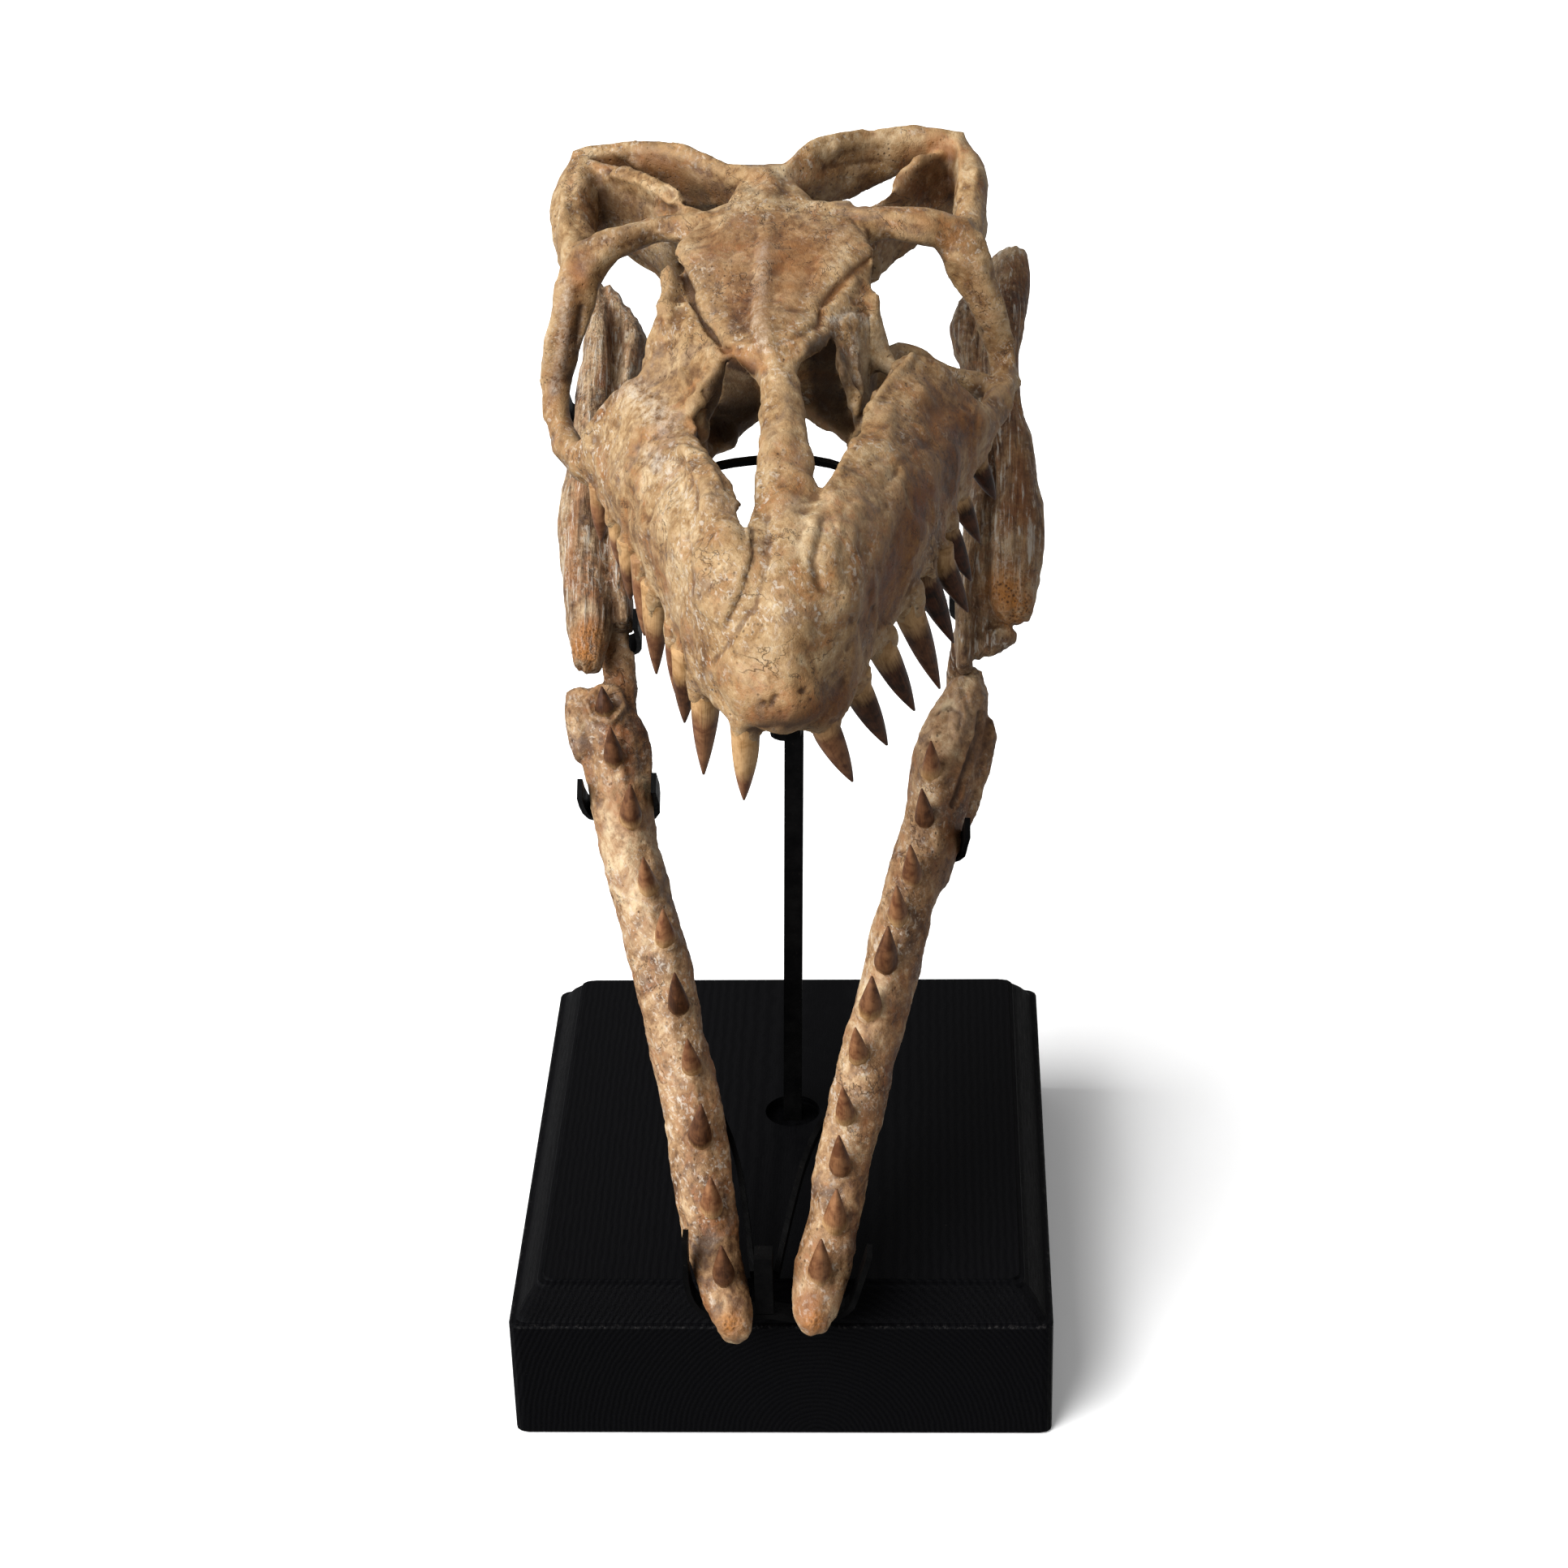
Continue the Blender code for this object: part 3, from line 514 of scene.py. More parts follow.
    def finish(self, name, material, slot, *nodes):
        """Makes the piece, inside the CAD model's box, with its values on its points."""
        self.points = np.clip(self.points, CAD_LOW + CAD_MARGIN, CAD_HIGH - CAD_MARGIN)
        self.store()
        self.mesh.update()
        for key, value in self.values.items():
            self.mesh.attributes.new(key, "FLOAT", "POINT").data.foreach_set("value", value)
        self.mesh.shade_smooth()
        settle(self.mesh, name, material, slot, *nodes)


def settle(mesh, name, material, slot, *nodes):
    """Adds a mesh as a piece that stands for the nodes."""
    made = add_object(name, mesh)
    mesh.materials.clear()
    mesh.materials.append(material)
    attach(made, "root")
    if nodes:
        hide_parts(*nodes)


# Skull, in millimetres: x to the side, y back from the snout, z above the tooth row. A limb's rows end with
# half its width and half its height
SNOUT = [
    (0, 9, 21, 12, 12), (0, 20, 28, 23, 22), (0, 42, 37, 29, 30), (0, 70, 45, 33, 35), (0, 94, 50, 37, 33),
]
NASAL_BAR = [
    (4, 85, 70, 18, 14), (4, 115, 77, 16, 10), (2.5, 145, 80, 15.5, 9), (1, 195, 84, 13, 9),
    (0, 240, 88, 12, 8), (0, 265, 91, 12, 8), (0, 320, 97, 9, 7), (0, 385, 103, 5, 5),
]
MAXILLA = [
    [(8, 38, 62), (20, 38, 58), (28, 40, 38), (28, 42, 13)],
    [(12, 64, 76), (27, 66, 70), (36, 68, 43), (37, 70, 15)],
    [(16, 92, 82), (34, 94, 72), (43, 96, 47), (44, 98, 17)],
    [(22, 128, 80), (43, 130, 71), (54, 131, 48), (55, 134, 17)],
    [(30, 170, 76), (50, 172, 69), (65, 175, 48), (66, 176, 17)],
    [(39, 215, 71), (60, 218, 65), (76, 221, 44), (78, 222, 15)],
    [(46, 255, 69), (68, 258, 62), (86, 262, 40), (88, 262, 14)],
    [(56, 292, 71), (78, 300, 60), (96, 305, 36), (100, 305, 12)],
    [(70, 318, 68), (88, 326, 52), (104, 334, 30), (110, 334, 9)],
]
TOOTH_RIDGE = [
    (13, 19, 14, 8, 8), (24, 38, 15, 7.5, 8), (34, 66, 16, 7, 7.5), (44, 100, 16, 6.5, 7.5),
    (54, 138, 16, 6.5, 7.5), (65, 178, 16, 6.5, 7.5), (78, 230, 15, 6.5, 7.5), (92, 282, 13, 6.5, 8),
    (106, 325, 10, 7, 8),
]
LEFT_CHEEK_BAR = [
    (-98, 300, 26, 8, 14), (-111, 335, 12, 8, 11), (-121, 372, 9, 8, 10), (-127, 402, 13, 8.5, 10),
]
RIGHT_CHEEK_BAR = [
    (98, 300, 32, 8, 12), (111, 335, 22, 8, 10), (121, 372, 17, 8, 9), (127, 402, 17, 8.5, 9),
]
EYE_REAR_BAR = [
    (128, 398, 10, 9, 7), (124.5, 410, 30, 9.5, 7.5), (118.5, 410, 52, 10.5, 8), (112, 416, 72, 12.5, 10),
    (105, 426, 90, 13.5, 11),
]
LEFT_BROW_BAR = [
    (-30, 436, 100, 20, 9), (-48, 446, 101, 15, 8), (-67, 447, 100, 12, 8), (-86, 436, 98, 12, 9),
    (-107, 428, 91, 15, 11),
]
RIGHT_BROW_BAR = [
    (34, 424, 100, 24, 8), (58, 433, 101, 19, 8), (84, 429, 99, 15, 9), (107, 430, 91, 15, 11),
]
ORBIT_FLOOR = [
    (58, 342, 58, 7, 6), (67, 360, 54, 7, 6), (77, 371, 44, 8, 6), (94, 380, 29, 8, 6),
    (112, 391, 18, 9, 7),
]
TEMPLE_WALL = [
    (105, 412, 78, 9, 14), (112, 455, 82, 8, 18), (118, 495, 87, 7, 20), (117, 530, 90, 8, 20),
    (109, 551, 93, 9, 20),
]
LEFT_REAR_ARM = [
    (-6, 488, 102, 9, 12), (-30, 517, 96, 7, 22), (-56, 541, 98, 6, 23), (-82, 553, 101, 6, 17),
    (-110, 553, 94, 9, 20),
]
RIGHT_REAR_ARM = [
    (6, 488, 103, 9, 13), (28, 522, 100, 8, 22), (54, 543, 99, 6, 21), (80, 549, 102, 6, 16),
    (112, 547, 94, 9, 20),
]
LEFT_EAR_ARM = [(-108, 544, 80, 5, 17), (-80, 508, 81, 5, 22), (-56, 468, 84, 5, 26), (-33, 438, 85, 8, 27)]
RIGHT_EAR_ARM = [(108, 544, 78, 5, 18), (82, 512, 78, 5, 23), (56, 468, 76, 5, 24), (33, 440, 84, 8, 28)]
CROWN = [
    (0, 385, 97, 46, 7), (0, 415, 100, 46, 8), (0, 440, 102, 38, 9), (0, 462, 103, 28, 10),
    (0, 488, 103, 20, 12), (0, 516, 102, 15, 10),
]
CROWN_KNOB = [(0, 452, 108, 9, 6), (0, 464, 111, 8, 6), (0, 474, 109, 6, 5)]
FRONTAL = [
    [(-14, 258, 94), (0, 258, 97), (14, 258, 94)],
    [(-29, 285, 94), (0, 285, 99), (27, 285, 94)],
    [(-41, 325, 97), (0, 325, 101), (38, 325, 97)],
    [(-46, 362, 101), (0, 362, 104), (47, 362, 101)],
    [(-54, 402, 103), (0, 405, 106), (55, 400, 103)],
    [(-48, 432, 103), (0, 436, 107), (48, 430, 103)],
    [(-34, 460, 103), (0, 464, 108), (34, 460, 103)],
]
LEFT_BROW = [
    [(-47, 380, 99), (-55, 370, 92), (-61, 356, 80)],
    [(-42, 342, 97), (-56, 335, 86), (-70, 327, 70)],
    [(-34, 302, 93), (-55, 301, 80), (-77, 300, 62)],
    [(-27, 272, 91), (-47, 268, 76), (-68, 275, 62)],
    [(-40, 250, 78), (-50, 252, 70), (-66, 262, 62)],
]
RIGHT_BROW = [
    [(50, 376, 99), (50, 366, 92), (50, 354, 80)],
    [(49, 345, 94), (51, 340, 82), (55, 336, 67)],
    [(47, 316, 66), (56, 312, 61), (68, 306, 57)],
]
EYE_WALL = [
    [(31, 264, 84), (40, 268, 52), (42, 282, 20)],
    [(34, 302, 93), (44, 304, 56), (46, 312, 22)],
    [(42, 346, 99), (47, 348, 62), (46, 352, 26)],
]
BROW_STRUT = [(50, 346, 92, 8, 7), (50, 340, 74, 6.5, 7), (48.5, 336, 56, 5.5, 6), (46, 332, 36, 5, 5.5)]
BROW_PRONG = [
    (31, 342, 90, 7, 6), (37, 340, 74, 5, 6), (39, 337, 57, 4.5, 5), (40, 334, 42, 4.5, 5),
    (43, 331, 32, 5, 5),
]
BROW_FACET = [
    [(52, 390, 104), (53.5, 389, 104), (55, 388, 103)],
    [(40, 362, 99), (48, 366, 98), (55, 368, 95)],
    [(27, 343, 92), (40, 346, 90), (53.5, 350, 86)],
]
LEFT_FINGER = [
    (-57.5, 374, 104, 2.5, 3), (-57, 362, 101, 5, 4.5), (-55, 342, 94, 6, 5), (-50, 318, 85, 6.5, 5.5),
    (-44, 296, 77, 6, 5), (-40, 272, 68, 4, 5),
]
LEFT_WALL = [(-46, 306, 76, 5, 9), (-43, 288, 68, 5, 11), (-41, 268, 60, 5, 10), (-40, 254, 58, 4, 8)]
LEFT_TEMPLE_FILL = [
    (-108, 548, 93, 10, 19), (-110, 522, 91, 10, 19), (-109, 492, 87, 10, 18), (-105, 458, 82, 8, 16),
]
RIGHT_TEMPLE_FILL = [
    (111, 548, 93, 6, 19), (113, 522, 91, 6, 19), (112, 492, 87, 7, 18), (108, 458, 82, 6, 16),
]
LEFT_EAR_RIM = [
    (-104, 542, 94, 5, 14), (-86, 520, 98, 6, 18), (-70, 496, 98, 6, 20), (-50, 464, 100, 5, 18),
]
RIGHT_EAR_RIM = [(106, 542, 90, 4, 12), (92, 526, 92, 4, 14), (80, 510, 92, 4, 15), (76, 504, 84, 4, 13)]
LEFT_LOBE = [
    [(-54, 200, 76), (-46, 196, 80), (-38, 192, 76)],
    [(-48, 170, 82), (-40, 166, 85), (-30, 164, 80)],
    [(-40, 138, 86), (-31, 134, 87), (-20, 134, 80)],
    [(-36, 108, 83), (-28, 104, 83), (-19, 104, 77)],
]
RIGHT_EDGE = [
    [(70, 321, 70), (80, 322, 66), (92, 326, 56)],
    [(60, 302, 72.5), (72, 304, 69), (86, 308, 58)],
    [(50, 268, 72), (62, 270, 69), (76, 272, 58)],
    [(42, 228, 72.5), (54, 230, 69.5), (68, 232, 59)],
]
CORE = [
    (0, 374, 76, 24, 20), (0, 396, 74, 32, 25), (0, 425, 74, 28, 27), (0, 460, 72, 26, 30),
    (0, 495, 66, 20, 24), (0, 522, 58, 12, 14),
]
PALATE = [
    [(-2, 360, 31), (20, 327, 27), (40, 300, 23), (66, 284, 20)],
    [(-2, 398, 36), (24, 376, 32), (46, 348, 28), (76, 314, 24)],
    [(-2, 438, 42), (26, 428, 38), (44, 404, 36), (62, 372, 34)],
]
PALATE_EDGE = [(58, 306, 20, 10, 7), (80, 292, 18, 10, 8), (98, 288, 16, 8, 8)]
PALATE_REAR = [(18, 425, 38, 14, 7), (34, 466, 44, 12, 8), (60, 505, 56, 7, 12), (86, 532, 68, 6, 14)]
PALATE_STEM = [(0, 405, 38, 12, 9), (0, 440, 46, 20, 16), (0, 480, 52, 18, 16)]

# Upper teeth: distance back, distance out, length, outward lean, root radius, share of bone-coloured
# root (at zero and below, hardly any shows) and darkness
LEFT_UPPER_TEETH = [
    (26, 18, 36, 3, 7, 0.45, 0.3), (71, 37, 46, 4, 7.5, 0.12, 0.4), (103, 48, 34, 3, 7, 0.08, 0.8),
    (131, 54, 34, 3, 6.5, -0.1, 0.35), (172, 68, 42, 3, 7, 0.22, 0.5), (206, 75, 37, 3, 6.5, -0.1, 0.3),
    (232, 83, 29, 2, 6, 0.15, 0.65), (270, 89.5, 27, 2, 6, 0.2, 0.4), (303, 100, 28, 2, 6, -0.05, 0.25),
]
RIGHT_UPPER_TEETH = [
    (30, 20, 32, 11, 7, -0.08, 0.6), (69, 36, 35, 13, 7.5, 0.02, 0.9), (106, 48.5, 37, 14, 7.5, 0.06, 0.95),
    (148, 60, 48, 14, 8, 0.1, 0.8), (182, 67.5, 40, 14, 7.5, -0.12, 1.0), (200, 77, 32, 13, 7, 0.0, 0.95),
    (236, 82, 32, 12, 7, -0.06, 1.0), (277, 90.5, 30, 11, 6.5, 0.06, 0.95),
    (317, 104, 24, 9, 6, -0.05, 1.0),
]
UPPER_ROOT_HEIGHT, UPPER_TOOTH_HOOK = 4, 5
SNOUT_BEND, BEND_START, BEND_END = 7, 200, 60


def snout_bend(y):
    """How far the snout is bent to the left at a distance back from its tip."""
    share = min(max((BEND_START - y) / (BEND_START - BEND_END), 0.0), 1.0)
    return SNOUT_BEND * share * share * (3 - 2 * share)


def upper_teeth():
    for side, teeth in ((-1, LEFT_UPPER_TEETH), (1, RIGHT_UPPER_TEETH)):
        for back, out, length, lean, radius, root, dark in teeth:
            place = (side * out - snout_bend(back), back, UPPER_ROOT_HEIGHT)
            yield Tooth(place, -length, side * lean, radius, UPPER_TOOTH_HOOK, root, dark)


# Front jaws, in millimetres along the jaw: x, y, depth of the centre, half width, half depth
LEFT_FRONT_JAW = [
    (-22, -6, -9, 7, 7), (-25, 8, -9.5, 12, 9.5), (-32, 30, -11, 14, 11), (-38, 60, -13, 16, 13),
    (-45, 105, -16, 16.5, 16), (-56, 155, -18, 16.5, 18), (-66.5, 200, -19, 16.5, 19),
    (-78, 243, -20, 16.5, 20), (-90.5, 290, -21, 17.5, 21), (-96, 335, -22, 20, 22),
    (-104, 352, -23, 20, 23), (-105, 366, -24, 18, 20),
]
RIGHT_FRONT_JAW = [
    (18, -1, -10, 8, 8), (19, 10, -11, 13, 10.5), (24, 32, -12, 15, 12), (30, 60, -13.5, 14.5, 13.5),
    (38, 105, -16, 16, 16), (48, 150, -18, 16, 18), (60, 195, -19, 15.5, 19), (70, 240, -20, 16, 20),
    (85, 290, -21, 17, 21), (95, 335, -22, 19, 22), (104, 362, -23, 14, 20), (106, 374, -23, 11, 14),
]
LEFT_JAW_CORNER = [(-110, 330, -18, 9, 12), (-115, 350, -16, 11, 12), (-117, 368, -15, 8, 8)]
LEFT_JAW_PLATE = [(-90, 330, -18, 8, 16), (-94, 365, -20, 9, 11), (-94, 394, -22, 8, 7.5)]
RIGHT_JAW_SLIVER = [(96, 288, -30, 4, 7), (112, 325, -30, 6, 9), (121, 346, -29, 4, 7)]
# Lower teeth: distance along, place across, length
LEFT_LOWER_TEETH = [
    (27, -29, 22), (64, -36, 22), (103, -43, 22), (143, -48, 20), (178, -56, 26), (216, -64, 20),
    (246, -74, 24), (287, -85, 22), (323, -95, 22), (352, -101, 10),
]
RIGHT_LOWER_TEETH = [
    (28, 23, 26), (56, 31, 22), (87, 34, 24), (115, 37, 22), (149, 44, 21), (175, 50, 21), (202, 59, 26),
    (228, 66, 24), (252, 74, 24), (286, 81, 22), (313, 85, 22),
]
LOWER_ROOT_HEIGHT, LOWER_TOOTH_RADIUS, LOWER_TOOTH_HOOK = -1, 6.5, 12
CHANGE_RATE, LEAN_CHANGE, RADIUS_CHANGE, HOOK_CHANGE = 0.37, 1.6, 0.6, 1.5
LEFT_REAR_OUTER = [
    (-111, 378, 1, 8, 9), (-111, 395, 0, 12, 13), (-112, 430, -2, 15, 16), (-118, 470, -4, 14, 18),
    (-115, 510, -6, 11, 19), (-112, 550, -10, 11, 20), (-111, 590, -16, 9, 18), (-113, 616, -22, 8, 12),
    (-116, 632, -26, 6, 8),
]
LEFT_REAR_INNER = [
    (-92, 405, -8, 5.5, 14), (-93, 420, -8, 6, 18), (-96, 440, -8, 6, 20), (-98, 500, -12, 6, 20),
    (-94, 560, -16, 7, 18), (-91, 590, -18, 7, 15), (-100, 612, -22, 6, 10),
]
RIGHT_REAR_OUTER = [
    (131, 408, -2, 10, 11), (132, 425, -2, 14, 15), (135, 460, -4, 16, 18), (134, 500, -6, 13, 19),
    (128, 540, -8, 12, 20), (126, 580, -12, 13, 20), (132, 614, -18, 12, 17), (134, 634, -20, 11, 14),
    (135, 648, -22, 9, 9),
]
RIGHT_REAR_INNER = [
    (104, 378, -8, 4, 12), (104, 410, -8, 5, 17), (108, 450, -10, 5, 20), (115, 500, -12, 6, 20),
    (117, 550, -16, 6, 18), (106, 596, -20, 9, 14), (112, 618, -24, 8, 11),
]
RIGHT_REAR_FLANGE = [(106, 390, -10, 6, 6), (120, 396, -10, 8, 6), (132, 400, -10, 5, 5)]
LEFT_REAR_LOBE = [
    (-108, 628, -22, 5, 5), (-103, 611, -19, 8, 7), (-101, 592, -17, 10, 8), (-103, 560, -13, 9, 9),
    (-106, 520, -9, 8, 9), (-105, 470, -6, 7, 9),
]
RIGHT_REAR_BLADE = [
    (129, 645, -22, 5, 5), (122, 627, -19, 8, 7), (117, 605, -15, 9, 8), (118, 580, -12, 9, 9),
    (122, 550, -10, 8, 9),
]
RIGHT_REAR_PLATE = [
    (116, 490, -8, 6, 8), (115, 460, -6, 8, 8), (112, 430, -6, 9.5, 8), (108, 405, -10, 9, 7),
    (102, 388, -20, 7, 6), (100, 372, -34, 6, 6),
]
RIGHT_FLANGE_TOP = [(112, 414, -10, 7, 5), (123, 413, -10, 8, 5), (131, 409, -10, 4.5, 5)]
LEFT_JAW_LINK = [
    (-96, 372, -21, 8, 8), (-98, 395, -19, 9, 8), (-99, 412, -17, 8.5, 8), (-100, 425, -15, 6, 7),
]
RIGHT_JAW_TOP = [(104, 360, -23, 8, 10), (107.5, 373, -23, 8.5, 9), (110, 383, -22, 6, 7)]
RIGHT_JAW_SPLINT = [
    (119, 355, -28, 3, 4), (118.5, 343, -29, 5, 6), (114, 324, -30, 5, 7), (105, 300, -30, 5, 6),
    (96, 276, -29, 4, 6), (88, 254, -27, 4, 5),
]


def colour(red, green, blue):
    """Linear colour of a 0 to 255 screen colour."""
    shares = [v / 255 for v in (red, green, blue)]
    return (*[v / 12.92 if v < 0.04045 else ((v + 0.055) / 1.055) ** 2.4 for v in shares], 1.0)


class Paint:
    """A node material, with short calls for the nodes that it needs."""

    def __init__(self, name, roughness, specular):
        self.material = bpy.data.materials.new(name)
        self.material.use_nodes = True
        self.tree = self.material.node_tree
        self.shader = self.tree.nodes["Principled BSDF"]
        self.shader.inputs["Roughness"].default_value = roughness
        self.shader.inputs["Specular IOR Level"].default_value = specular
        self.place = self.node("ShaderNodeTexCoord").outputs["Object"]

    def node(self, kind, inputs=None, **settings):
        made = self.tree.nodes.new(kind)
        for key, value in settings.items():
            setattr(made, key, value)
        for key, value in (inputs or {}).items():
            if isinstance(value, bpy.types.NodeSocket):
                self.tree.links.new(value, made.inputs[key])
            else:
                made.inputs[key].default_value = value
        return made

    def stretched(self, scale, turn=(0, 0, 0), shift=(0, 0, 0)):
        shrink = [1.0 / v for v in scale]
        return self.node("ShaderNodeMapping", {0: self.place, 1: shift, 2: turn, 3: shrink},
                         vector_type="TEXTURE").outputs[0]

    def shifted(self, *shift):
        return self.stretched((1, 1, 1), shift=shift)

    def noise(self, scale, detail=4.0, rough=0.55, warp=0.0, place=None):
        inputs = {"Scale": scale, "Detail": detail, "Roughness": rough, "Distortion": warp}
        return self.node("ShaderNodeTexNoise", {"Vector": place or self.place, **inputs}).outputs[0]

    def cells(self, scale):
        """Distance from the middle of scattered cells."""
        return self.node("ShaderNodeTexVoronoi", {"Vector": self.place, "Scale": scale}).outputs[0]

    def value(self, name):
        return self.node("ShaderNodeAttribute", attribute_name=name).outputs["Fac"]

    def level(self, value, low, high, to_low=0.0, to_high=1.0):
        """Turns the range from low to high into the range from to_low to to_high, and stops at its ends."""
        return self.node("ShaderNodeMapRange", {0: value, 1: low, 2: high, 3: to_low, 4: to_high}).outputs[0]

    def patches(self, low, high, *noise):
        """Areas where noise passes from low to high."""
        return self.level(self.noise(*noise), low, high)

    def math(self, operation, a, b=0.0):
        return self.node("ShaderNodeMath", {0: a, 1: b}, operation=operation).outputs[0]

    def plus(self, a, b):
        return self.math("ADD", a, b)

    def times(self, *values):
        product = values[0]
        for value in values[1:]:
            product = self.math("MULTIPLY", product, value)
        return product

    def ramp(self, value, *stops):
        made = self.node("ShaderNodeValToRGB", {0: value})
        elements = made.color_ramp.elements
        while len(elements) < len(stops):
            elements.new(0.5)
        for element, (place, tone) in zip(elements, stops):
            element.position, element.color = place, tone
        return made.outputs[0]

    def mix(self, factor, a, b, blend="MIX"):
        made = self.node("ShaderNodeMix", {0: factor, 6: a, 7: b}, data_type="RGBA", blend_type=blend)
        return made.outputs[2]

    def tint(self, base, tone, value, low, high, most=1.0):
        """Mixes up to most of a tone into the base, as a value goes from low to high."""
        return self.mix(self.level(value, low, high, 0.0, most), base, tone)

    def bump(self, height, distance, strength=1.0, under=None):
        inputs = {"Height": height, "Distance": distance, "Strength": strength}
        if under:
            inputs["Normal"] = under
        return self.node("ShaderNodeBump", inputs).outputs[0]

    def done(self, tone, normal, roughness=None):
        self.tree.links.new(tone, self.shader.inputs["Base Color"])
        self.tree.links.new(normal, self.shader.inputs["Normal"])
        if roughness is not None:
            self.tree.links.new(roughness, self.shader.inputs["Roughness"])
        return self.material


CHALK, EARTH, WORN_BONE = colour(172, 164, 152), colour(52, 33, 18), colour(166, 146, 116)
GREY_BONE, DIRT_AND_SHADE, BROWN_AND_SHADE_TINT = colour(110, 97, 86), colour(44, 28, 15), colour(188, 150, 102)
FINE_SHADE, BROAD_SHADE, COVERED_SHADE = colour(70, 44, 22), colour(84, 54, 28), colour(66, 41, 18)
SPONGE, SPONGE_HOLES = colour(158, 100, 38), colour(52, 30, 12)


def mottled(paint, clouds, deep, tan, pale, rust):
    """Browns in clouds of three sizes, with rusty and greyish areas."""
    big, middle, small = clouds
    tone = paint.plus(paint.times(big, 0.40), paint.plus(paint.times(middle, 0.38), paint.times(small, 0.22)))
    base = paint.ramp(tone, (0.42, deep), (0.475, tan), (0.525, pale), (0.60, WORN_BONE))
    rusty = paint.times(paint.patches(0.50, 0.62, 30, 4, 0.62, 1.4), paint.level(small, 0.36, 0.60))
    base = paint.mix(paint.times(rusty, 0.75), base, rust)
    greyish = paint.times(paint.patches(0.52, 0.64, 42, 4, 0.6, 1.0, paint.shifted(5, 2, 7)),
                          paint.level(middle, 0.60, 0.42))
    return paint.mix(paint.times(greyish, 0.35), base, GREY_BONE)


def flecked(paint, base):
    """Long pale and earthy flecks in three directions, as colour and as relief."""
    patch = paint.patches(0.40, 0.60, 24, 3, 0.5, 0.6, paint.shifted(1, 8, 3))
    normal = None
    for turn, shift in (((0.5, 0.3, 0.4), 0), ((-0.7, 0.2, -0.9), 3), ((0.2, -0.8, 0.7), 6)):
        flecks = paint.noise(1.0, 4, 0.62, 0.5, paint.stretched((330, 190, 330), turn, (shift, 0, shift)))
        base = paint.mix(paint.times(paint.level(flecks, 0.59, 0.65), patch, 0.5), base, CHALK)
        base = paint.mix(paint.times(paint.level(flecks, 0.385, 0.335), 0.3), base, EARTH)
        normal = paint.bump(flecks, 0.0005, 0.22, normal)
    return base, normal


def cracked(paint, base):
    """Thin dark veins and small pores, with the depth of both."""
    veins = paint.math("ABSOLUTE", paint.math("SUBTRACT", paint.noise(30, 5, 0.62, 0.6), 0.5))
    veins = paint.times(paint.level(veins, 0.0, 0.008, 1.0, 0.0), paint.patches(0.50, 0.58, 19, 2))
    base = paint.mix(paint.times(veins, 0.7), base, EARTH)
    pores = paint.times(paint.level(paint.cells(300), 0.10, 0.24, 1.0, 0.0),
                        paint.patches(0.48, 0.60, 48, 3, 0.6))
    base = paint.mix(paint.times(pores, 0.7), base, EARTH)
    return base, paint.math("MAXIMUM", veins, pores)


def shaded_and_stained(paint, base, small, pale, rust):
    """Painted shade in hollows and where bone hides the sky, paler small ridges, then the painted values on
    the points: brown and dirt, which are partly stains and partly painted shade, ochre and chalk.
    """
    # Painted shade: darker in small and broad hollows and where bone hides the sky; paler on small ridges
    for name, low, high, most, tone in (("fine", -0.3, -1.8, 0.6, FINE_SHADE), ("fine", 0.3, 1.8, 0.45, pale),
                                        ("broad", -0.3, -2.2, 0.6, BROAD_SHADE),
                                        ("covered", 0.36, 0.95, 0.75, COVERED_SHADE)):
        base = paint.tint(base, tone, paint.value(name), low, high, most)
    # Brown and dirt: partly stains and partly painted shade
    brown_and_shade_tone = paint.mix(1.0, base, BROWN_AND_SHADE_TINT, "MULTIPLY")
    for name, tone in (("brown_and_shade", brown_and_shade_tone), ("dirt_and_shade", DIRT_AND_SHADE), ("ochre", rust)):
        base = paint.tint(base, tone, paint.value(name), 0.0, 1.0)
    chalky = paint.times(paint.level(paint.value("chalky"), 0.0, 1.0), paint.level(small, 0.38, 0.62))
    return paint.mix(chalky, base, CHALK)


def splintered(paint, base, normal, fibre):
    """Long strands, dark in between and pale on top."""
    strands = paint.noise(1.0, 5, 0.68, 0.35, paint.stretched(*fibre))
    base = paint.tint(base, EARTH, strands, 0.48, 0.34, 0.7)
    base = paint.tint(base, CHALK, strands, 0.55, 0.64, 0.75)
    return base, paint.bump(strands, 0.0026, 1.0, normal)


def spongy(paint, base, normal):
    """Broken ends, where the inside of the bone shows ochre with small dark holes."""
    sponge = paint.plus(paint.times(paint.cells(430), 0.6), paint.times(paint.noise(520, 4, 0.7), 0.4))
    amount = paint.times(paint.value("spongy"), paint.patches(0.30, 0.50, 60, 4, 0.7))
    base = paint.mix(paint.times(amount, paint.level(sponge, 0.35, 0.62, 1.0, 0.8)), base, SPONGE)
    base = paint.mix(paint.times(amount, paint.level(sponge, 0.34, 0.46, 0.9, 0.0)), base, SPONGE_HOLES)
    return base, paint.bump(paint.times(sponge, amount), 0.0034, 0.9, normal)


